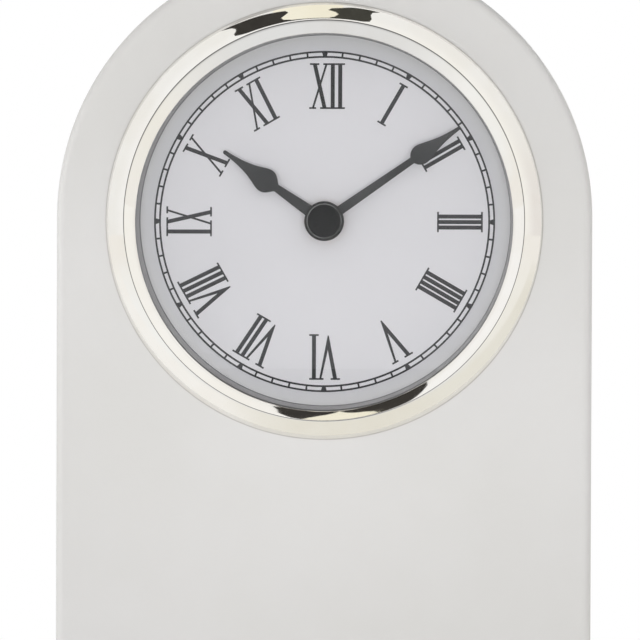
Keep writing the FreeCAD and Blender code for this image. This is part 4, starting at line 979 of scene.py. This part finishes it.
driven = screw_tree(finishes["screw_steel"])
for node, head, height, shank, grip, seed in (
        ("back_panel_screws", 2.4, 1.4, 1.2, 11.0, 3), ("pan_clip_screws", 2.4, 1.2, 1.1, 7.0, 8)):
    model = screw_model(head * MM, height * MM, shank * MM, grip * MM)
    screws = grown(at_points(node + "_driven", loose_parts(node)), driven, Screw=model, Seed=seed)
    bpy.data.objects.remove(model)
    dress(screws, "clock_case", "screw_steel", finishes["screw_steel"], node)

# %% [markdown]
# The coil is hair-fine enamelled wire. A spiral curve with one turn for each wire width, swept with a small
# circle, is a real winding: light runs along it in the way that no bump map gives.

# %% The coil winding
wire_radius = 0.09 * MM
coil_low, coil_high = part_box("coil_winding")
coil_middle = (coil_low + coil_high) / 2
coil_length = coil_high.z - coil_low.z - 2 * wire_radius


def winding_tree(material):
    """A single layer of wire wound on a straight coil."""
    tree, source, sink = geometry_tree(
        "wire winding", Turns=("Float", 80.0), Wire_radius=("Float", wire_radius),
        Coil_radius=("Float", 3.4 * MM), Length=("Float", 17.0 * MM), Foot=("Vector", (0.0, 0.0, 0.0)))
    helix = add(tree, "GeometryNodeCurveSpiral", {
        "Resolution": 36, "Rotations": source["Turns"], "Start Radius": source["Coil_radius"],
        "End Radius": source["Coil_radius"], "Height": source["Length"]})
    ring = add(tree, "GeometryNodeCurvePrimitiveCircle", {"Resolution": 6, "Radius": source["Wire_radius"]})
    wire = add(tree, "GeometryNodeCurveToMesh", {"Curve": helix.outputs[0], "Profile Curve": ring.outputs[0],
                                                 "Fill Caps": True})
    moved = add(tree, "GeometryNodeTransform", {"Geometry": wire.outputs[0], "Translation": source["Foot"]})
    smooth = add(tree, "GeometryNodeSetShadeSmooth", {"Geometry": moved.outputs[0]})
    real = add(tree, "GeometryNodeRealizeInstances", {0: smooth.outputs[0]})
    return coated(tree, real.outputs[0], material, sink)


winding = grown(at_points("coil_winding_wound", [(0, 0, 0)]), winding_tree(finishes["copper"]),
                Turns=coil_length / (2 * wire_radius), Wire_radius=wire_radius,
                Coil_radius=(coil_high.x - coil_low.x) / 2 - wire_radius, Length=coil_length,
                Foot=(coil_middle.x, coil_middle.y, coil_low.z + wire_radius))
dress(winding, "clock_case", "copper", finishes["copper"], "coil_winding")

# %% [markdown]
# The cell is a steel can in a printed sleeve that is shrunk over both ends. Sleeve and can are two turned
# pieces, so the metal of the nub and the base shows where the sleeve stops.

# %% The battery
cell_low, cell_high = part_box("battery")
cell_radius = (cell_high.z - cell_low.z) / 2
cell_centre = Vector((cell_low.x, (cell_low.y + cell_high.y) / 2, (cell_low.z + cell_high.z) / 2))
nub_radius, nub_length = 2.75 * MM, 1.3 * MM
can_length = cell_high.x - cell_low.x - nub_length
sleeve_wall, sleeve_lap, sleeve_step = 0.12 * MM, 1.4 * MM, 0.1 * MM
band_start, band_end = 14.0 * MM, 14.15 * MM


def make_cell_jacket():
    material, tree = new_material("cell_jacket", Coat_Weight=0.4, Coat_Roughness=0.15)
    band = window(tree, axes(tree, object_place(tree))["X"], band_start, band_end)
    slow = use(tree, mottle, Scale=60.0)
    hair = use(tree, scuffs, Amount=0.7)
    body = blended(tree, slow, tone(58, 96, 120), tone(52, 88, 112))
    shine = maths(tree, "MULTIPLY_ADD", hair, 0.3, spread(tree, slow, 0.25, 0.35))
    return cooked(material, blended(tree, band, body, tone(196, 198, 200)), shine)


can_radius, lap_radius = cell_radius - sleeve_wall, cell_radius - sleeve_lap
can_top, dent_top = can_length - sleeve_step, can_length - 0.5 * MM
can_outline = eased([
    (0, 0.3 * MM, 0), (3.2 * MM, 0.3 * MM, 0), (3.6 * MM, sleeve_step, 0),
    (can_radius, sleeve_step, 0.5 * MM), (can_radius, can_top, 0.6 * MM), (5.0 * MM, can_top, 0),
    (4.6 * MM, dent_top, 0.1 * MM),
    (nub_radius, dent_top, 0.1 * MM), (nub_radius, can_length + nub_length, 0.4 * MM),
    (0, can_length + nub_length, 0)], steps=4)
sleeve_outline = eased([
    (cell_radius, 0, 0.5 * MM), (cell_radius, can_length, 0.6 * MM), (lap_radius, can_length, 0),
    (lap_radius, can_top, 0), (can_radius, can_top, 0.5 * MM), (can_radius, sleeve_step, 0.4 * MM),
    (lap_radius, sleeve_step, 0), (lap_radius, 0, 0)], steps=4)
can = turned("battery_can", can_outline, 96, cell_centre, "X")
sleeve = turned("battery_sleeve", sleeve_outline, 96, cell_centre, "X")
dress(can, "cell", "contact_nickel", finishes["contact_nickel"])
dress(sleeve, "cell", "cell_jacket", make_cell_jacket(), "battery")

# %% [markdown]
# Four felt pads keep the case off the shelf. Felt has no clean edge: fibres stick out. The pads keep their
# packed place and get a rounded body from a bevel, and Geometry Nodes scatter short fibres over their
# sides.

# %% Felt pads
pad_round = 0.25 * MM
fibre_density = 1.2e7
fibre_lift = 0.02 * MM


def make_felt():
    material, tree = new_material("felt", Sheen_Weight=0.4, Sheen_Roughness=0.6)
    fibres = use(tree, grain, Scale=2200.0, Stretch=(1.0, 0.3, 1.0))
    tufts = maths(tree, "MULTIPLY", fibres, use(tree, mottle, Scale=160.0))
    colour = blended(tree, tufts, tone(58, 56, 54), tone(96, 92, 88))
    return cooked(material, colour, spread(tree, fibres, 0.85, 1.0), fibres, 0.8, 0.2)


def fibre_tree(material):
    """Short leaning fibres scattered over the upright faces of a pad, joined to the pad itself."""
    tree, source, sink = geometry_tree(
        "felt fibres", Density=("Float", fibre_density), Fibre_length=("Float", 0.5 * MM),
        Fibre_radius=("Float", 0.012 * MM), Seed=("Int", 5))
    normal = axes(tree, add(tree, "GeometryNodeInputNormal").outputs[0])
    upright = add(tree, "FunctionNodeCompare", {0: maths(tree, "ABSOLUTE", normal["Z"]), 1: 0.5},
                  data_type="FLOAT", operation="LESS_THAN")
    points = add(tree, "GeometryNodeDistributePointsOnFaces", {
        "Mesh": source["Geometry"], "Selection": upright.outputs[0], "Density": source["Density"],
        "Seed": source["Seed"]}).outputs
    tip = add(tree, "ShaderNodeCombineXYZ", {"Z": source["Fibre_length"]})
    line = add(tree, "GeometryNodeCurvePrimitiveLine", {0: (0.0, 0.0, 0.0), 1: tip.outputs[0]})
    ring = add(tree, "GeometryNodeCurvePrimitiveCircle", {"Resolution": 3, "Radius": source["Fibre_radius"]})
    fibre = add(tree, "GeometryNodeCurveToMesh", {"Curve": line.outputs[0], "Profile Curve": ring.outputs[0],
                                                  "Fill Caps": True})
    lean = add(tree, "FunctionNodeRandomValue", {0: (-1.1, -1.1, -3.1), 1: (1.1, 1.1, 3.1),
                                                 "Seed": source["Seed"]}, data_type="FLOAT_VECTOR")
    leaning = add(tree, "FunctionNodeRotateRotation", {0: points["Rotation"], 1: lean.outputs[0]},
                  rotation_space="LOCAL")
    size = add(tree, "FunctionNodeRandomValue", {2: 0.4, 3: 1.0}, data_type="FLOAT")
    placed = add(tree, "GeometryNodeInstanceOnPoints", {
        "Points": points["Points"], "Instance": fibre.outputs[0], "Rotation": leaning.outputs[0],
        "Scale": size.outputs[1]})
    real = add(tree, "GeometryNodeRealizeInstances", {0: placed.outputs[0]})
    across, along, up = axes(tree, add(tree, "GeometryNodeInputPosition").outputs[0])
    up = maths(tree, "MAXIMUM", up, fibre_lift)
    held = add(tree, "ShaderNodeCombineXYZ", {"X": across, "Y": along, "Z": up}).outputs[0]
    above_shelf = add(tree, "GeometryNodeSetPosition", {"Geometry": real.outputs[0], "Position": held})
    whole = add(tree, "GeometryNodeJoinGeometry", {0: source["Geometry"]})
    fill(whole, tree, {0: above_shelf.outputs[0]})
    return coated(tree, whole.outputs[0], material, sink)


felt = make_felt()
pads = grown(softened("foot_pads", pad_round, "foot_pads_felt"), fibre_tree(felt), Density=fibre_density)
dress(pads, "clock_case", "felt", felt, "foot_pads")

# %% [markdown]
# The camera stands 70 cm in front, a little right of the middle and a little below the dial. The photograph
# is a tight crop of a long lens, so the focal length is long and the top of the arch leaves the frame.

# %% The camera
camera_place = Vector((10.6, -719.9, 107.0)) * MM
camera_turn, camera_tilt, camera_roll = math.radians(0.95), math.radians(-0.59), math.radians(0.21)
sensor = 36.0
focal_pixels, frame_pixels = 2593.0, 640.0
camera_near = 0.05


def set_camera():
    data = bpy.data.cameras.new("portrait_camera")
    data.sensor_width, data.lens = sensor, focal_pixels / frame_pixels * sensor
    data.clip_start = camera_near
    camera = linked("portrait_camera", data)
    turn = Matrix.Rotation(camera_turn, 3, "Z") @ Matrix.Rotation(math.pi / 2 + camera_tilt, 3, "X")
    camera.rotation_euler = (turn @ Matrix.Rotation(camera_roll, 3, "Z")).to_euler()
    camera.location = camera_place
    bpy.context.scene.camera = camera
    print("lens:", round(data.lens, 1), "mm")


set_camera()
bpy.context.scene.view_settings.view_transform = "Standard"

# %% [markdown]
# A product portrait: a pale floor, a white surround and soft light. The surround is the world. Camera rays
# and rays through the glass see it white, mirrors see near whites that differ from side to side, and all
# other rays get a dimmer sky, so a colour renders about as it is written. Straight ahead of the clock the
# mirrors see it dark, as the camera's side of a studio is, or the glass would lay a white haze over the
# dial.

# %% The surround
sky_strength = 0.42
white = (1.0, 1.0, 1.0, 1.0)
mirror_left, mirror_right = (0.93, 0.93, 0.91, 1.0), (0.87, 0.845, 0.82, 1.0)
mirror_high = (0.94, 0.94, 0.92, 1.0)
ahead_left, ahead_right = (1.0, 1.0, 0.995, 1.0), (1.0, 0.995, 0.965, 1.0)
camera_side, camera_cone = (0.1, 0.1, 0.1, 1.0), (0.74, 0.9)


def seen_rays(tree):
    """Masks of the rays that see things plainly, from the camera or through glass, and of mirrored rays."""
    path = add(tree, "ShaderNodeLightPath").outputs
    return maths(tree, "MAXIMUM", path["Is Camera Ray"], path["Is Transmission Ray"]), path["Is Glossy Ray"]


def make_world():
    world = bpy.data.worlds.new("studio")
    bpy.context.scene.world = world
    world.use_nodes = True
    tree = world.node_tree
    across, along, up = axes(tree, add(tree, "ShaderNodeTexCoord").outputs["Generated"])
    ahead = maths(tree, "MULTIPLY", along, -1.0)
    sides = blended(tree, window(tree, across, -0.5, 0.7), mirror_left, mirror_right)
    sides = blended(tree, window(tree, up, 0.15, 0.5), sides, mirror_high)
    in_front = blended(tree, window(tree, across, -0.5, 0.5), ahead_left, ahead_right)
    sides = blended(tree, window(tree, ahead, 0.05, 0.4), sides, in_front)
    plain, glossy = seen_rays(tree)
    seen = blended(tree, window(tree, ahead, *camera_cone), sides, camera_side)
    sky = add(tree, "ShaderNodeBackground", {"Color": white, "Strength": sky_strength})
    bright = add(tree, "ShaderNodeBackground", {"Color": blended(tree, plain, seen, white), "Strength": 1.0})
    surfaced(tree, maths(tree, "MAXIMUM", plain, glossy), sky, bright, "World Output")
    print("sky strength:", sky_strength)


make_world()

# %% [markdown]
# The floor is a pale sheet. Near the clock it is matt and takes the shadow. Further out it turns to plain
# white for the camera, so that it meets the background with no horizon line. It glows a little, which keeps
# the shadow light. Mirrors see it in colours of its own, since the polished bands show the floor in front
# of the clock: nearly white at the left, greyer in the middle and warmer to the right and far away.

# %% The floor
floor_size = 3.0
floor_glow = 0.35
clear_middle = (0, -35 * MM, 0)
clear_near, clear_far = 85 * MM, 140 * MM
floor_left, floor_right = (0.98, 0.975, 0.95, 1.0), (0.85, 0.835, 0.765, 1.0)
front_left, front_middle = (0.97, 0.98, 0.97, 1.0), (0.8, 0.81, 0.82, 1.0)
front_right = (0.93, 0.92, 0.87, 1.0)
floor_far = (0.95, 0.935, 0.9, 1.0)
beside_turn, left_turn, right_turn = (-0.08, -0.02), (-0.16, -0.03), (0.03, 0.2)
front_start, far_start = (-0.05, -0.08), (0.3, 0.9)


def staged(name, bm, material):
    """A floor or a card, which belongs to the studio and not to the clock."""
    mesh = mesh_of(name, bm)
    mesh.materials.append(material)
    prop = linked(name, mesh)
    return prop


def make_floor():
    material, tree = new_material("studio_floor", Emission_Color=white, Emission_Strength=floor_glow)
    slow = use(tree, mottle, Scale=3.0)
    paper = blended(tree, slow, tone(236, 235, 233), tone(233, 232, 230))
    cooked(material, paper, spread(tree, slow, 0.75, 0.85))
    away = vectors(tree, "SUBTRACT", object_place(tree), clear_middle)
    reach = vectors(tree, "LENGTH", away, result="Value")
    across, along, _ = axes(tree, object_place(tree))
    plain, glossy = seen_rays(tree)
    beside = blended(tree, window(tree, across, *beside_turn), floor_left, floor_right)
    front = blended(tree, window(tree, across, *left_turn), front_left, front_middle)
    front = blended(tree, window(tree, across, *right_turn), front, front_right)
    mirrored_tone = blended(tree, window(tree, along, *front_start), beside, front)
    mirrored_tone = blended(tree, window(tree, reach, *far_start), mirrored_tone, floor_far)
    ahead = axes(tree, add(tree, "ShaderNodeNewGeometry").outputs["Incoming"])["Y"]
    mirrored_tone = blended(tree, window(tree, ahead, *camera_cone), mirrored_tone, camera_side)
    glow = add(tree, "ShaderNodeEmission", {"Color": blended(tree, glossy, white, mirrored_tone)})
    far = maths(tree, "MULTIPLY", window(tree, reach, clear_near, clear_far), plain)
    surfaced(tree, maths(tree, "MAXIMUM", far, glossy), tree.nodes["Principled BSDF"], glow)
    bm = bmesh.new()
    bmesh.ops.create_grid(bm, x_segments=1, y_segments=1, size=floor_size)
    staged("studio_floor", bm, material)


make_floor()

# %% [markdown]
# A polished ring needs something dark to reflect, or it looks like plaster. Photographers hang small black
# and cream cards round a shiny object for that. The outlines of the reflections are chosen on the ring
# itself, as an angle from twelve and a share across the band. Each point is then mirrored from the camera
# to the height of its card, so the card gets exactly the shape that the ring shows. Only mirrors see the
# cards, and only from below. They are also hidden from points very close to them, so that the top of the
# case, just under the upper cards, hardly mirrors them.

# %% Cards for the ring to reflect
left_dark = [(-29, 0.14), (-25.9, 0.16), (-23, 0.19), (-17.3, 0.22), (-13.2, 0.28), (-10.6, 0.32),
             (-9.9, 0.45), (-10.9, 0.56), (-12.1, 0.68), (-11.6, 0.8), (-9.5, 0.87), (-9.5, 0.97),
             (-14, 0.98), (-18.5, 0.97), (-22, 0.93), (-24.4, 0.87), (-25.9, 0.8), (-26, 0.68),
             (-25.1, 0.57), (-25, 0.44), (-25.9, 0.3)]
right_dark = [(1, 0.48), (1.9, 0.36), (4.3, 0.32), (7, 0.22), (9.7, 0.19), (12.4, 0.18), (15, 0.18),
              (13, 0.31), (12.7, 0.48), (13.2, 0.69), (12.8, 0.85), (10.3, 0.94), (7.4, 0.96), (4.6, 0.98),
              (2, 0.98), (1.5, 0.88), (2.8, 0.84), (3.9, 0.69), (2.9, 0.57)]
ridge_line = [(-10, 0.88), (-5, 0.91), (2.2, 0.91), (2.2, 0.99), (-5, 0.99), (-10, 0.99)]
cream_top = [(-14, 0.05), (-5, 0.04), (5, 0.05), (5, 0.94), (-5, 0.94), (-14, 0.94)]
low_dark = [(195.1, 0.80), (190.5, 0.89), (185.9, 0.91), (181.4, 0.92), (175, 0.94), (169, 0.96),
            (163, 0.98), (156, 0.98), (150, 0.95), (147.6, 0.92), (147.8, 0.6), (149.8, 0.36), (152, 0.19),
            (154, 0.1), (157.8, 0.04), (162, 0.01), (170, 0.01), (180, 0.01), (187, 0.04), (190, 0.11),
            (193.1, 0.29), (193.6, 0.58)]
cream_low = [(186.3, 0.09), (184.2, 0.29), (181.4, 0.48), (178.4, 0.64), (176.3, 0.78), (175, 0.91),
             (173.4, 0.71), (171, 0.58), (168, 0.51), (165.1, 0.35), (163.8, 0.11), (170, 0.09),
             (180, 0.09)]
card_dark, card_grey = (0.046, 0.043, 0.039, 1.0), (0.06, 0.059, 0.05, 1.0)
card_cream = (0.97, 0.935, 0.785, 1.0)
card_reach = 24 * MM


def mirrored(angle, share, band, height):
    """Where the camera's sight line lands on a level card after the ring has mirrored it."""
    (start_radius, start_reach), (end_radius, end_reach), bulge = band
    if end_reach > start_reach:
        end_radius -= lip_sag * math.cos(math.radians(angle))
    run, rise = end_radius - start_radius, end_reach - start_reach
    side = Vector((-rise, run)).normalized()
    slope = 4 * bulge * (1 - 2 * share) / math.hypot(run, rise)
    along = Vector((run, rise)).normalized() + side * slope
    outward = Vector((-along.y, along.x)).normalized()
    if outward.y > 0:
        outward = -outward
    bow = side * 4 * bulge * share * (1 - share)
    spoke = Vector((math.sin(math.radians(angle)), 0, math.cos(math.radians(angle))))
    place = dial_centre + spoke * (start_radius + run * share + bow.x)
    place += Vector((0, start_reach + rise * share + bow.y, 0))
    normal = spoke * outward.x + Vector((0, outward.y, 0))
    sight = (place - camera_place).normalized()
    ray = sight - 2 * sight.dot(normal) * normal
    return place + ray * (height - place.z) / ray.z


def make_card(name, outline, band, height, colour):
    """A level card whose mirror image on the band has the outline."""
    material, tree = new_material(name)
    streaks = use(tree, grain, Scale=240.0, Stretch=(1.0, 0.25, 1.0))
    strength = 1.0 if colour == card_cream else spread(tree, streaks, 0.7, 1.3)
    glow = add(tree, "ShaderNodeEmission", {"Color": colour, "Strength": strength})
    clear = add(tree, "ShaderNodeBsdfTransparent")
    back = add(tree, "ShaderNodeNewGeometry").outputs["Backfacing"]
    near = maths(tree, "LESS_THAN", add(tree, "ShaderNodeLightPath").outputs["Ray Length"], card_reach)
    surfaced(tree, maths(tree, "MAXIMUM", back, near), glow, clear)
    bm = bmesh.new()
    face = bm.faces.new([bm.verts.new(mirrored(angle, share, band, height)) for angle, share in outline])
    face.normal_update()
    if face.normal.z > 0:
        face.normal_flip()
    bmesh.ops.triangulate(bm, faces=bm.faces)
    card = staged(name, bm, material)
    card.visible_camera = card.visible_diffuse = card.visible_shadow = card.visible_transmission = False


outer_curve, inner_curve = (skirt_top, ridge, outer_bulge), (ridge, lip, inner_bulge)
high_card, low_card, card_gap = dial_z + 90 * MM, dial_z - 20 * MM, 2 * MM
make_card("card_left_dark", left_dark, outer_curve, high_card, card_dark)
make_card("card_right_dark", right_dark, outer_curve, high_card, card_grey)
make_card("card_ridge_line", ridge_line, outer_curve, high_card - card_gap, card_dark)
make_card("card_cream_top", cream_top, outer_curve, high_card + card_gap, card_cream)
make_card("card_low_dark", low_dark, inner_curve, low_card + card_gap, card_dark)
make_card("card_cream_low", cream_low, inner_curve, low_card, card_cream)

# %% [markdown]
# Four soft lamps do the modelling: a key from the upper left, one low in front for an even dial and the
# foot of the case, one at the far left that lights the rounded edge, and one behind for the back. They are
# out of the mirrors' sight, so the ring shows the clean surround and not four squares.

# %% The lamps
def lamp(name, place, aim, size, power, colour=(1.0, 1.0, 1.0)):
    """A square soft lamp that points at a place and stays out of reflections."""
    data = bpy.data.lights.new(name, "AREA")
    data.shape, data.size, data.energy, data.color = "SQUARE", size, power, colour
    holder = linked(name, data)
    holder.location = place
    holder.rotation_euler = (Vector(aim) - Vector(place)).to_track_quat("-Z", "Y").to_euler()
    holder.visible_glossy = holder.visible_transmission = False
    print(name, power, "W")


lamp("key_lamp", (-0.3, -1.25, 0.42), dial_centre, 0.8, 1.90, (1.0, 0.99, 0.97))
lamp("low_lamp", (0, -0.5, 0.02), (0, 0, 0.02), 0.26, 1.93)
lamp("edge_lamp", (-1.0, 0.0, 0.15), dial_centre, 0.7, 4.50)
lamp("back_lamp", (0.9, 0.95, 0.6), dial_centre, 0.7, 6.00)
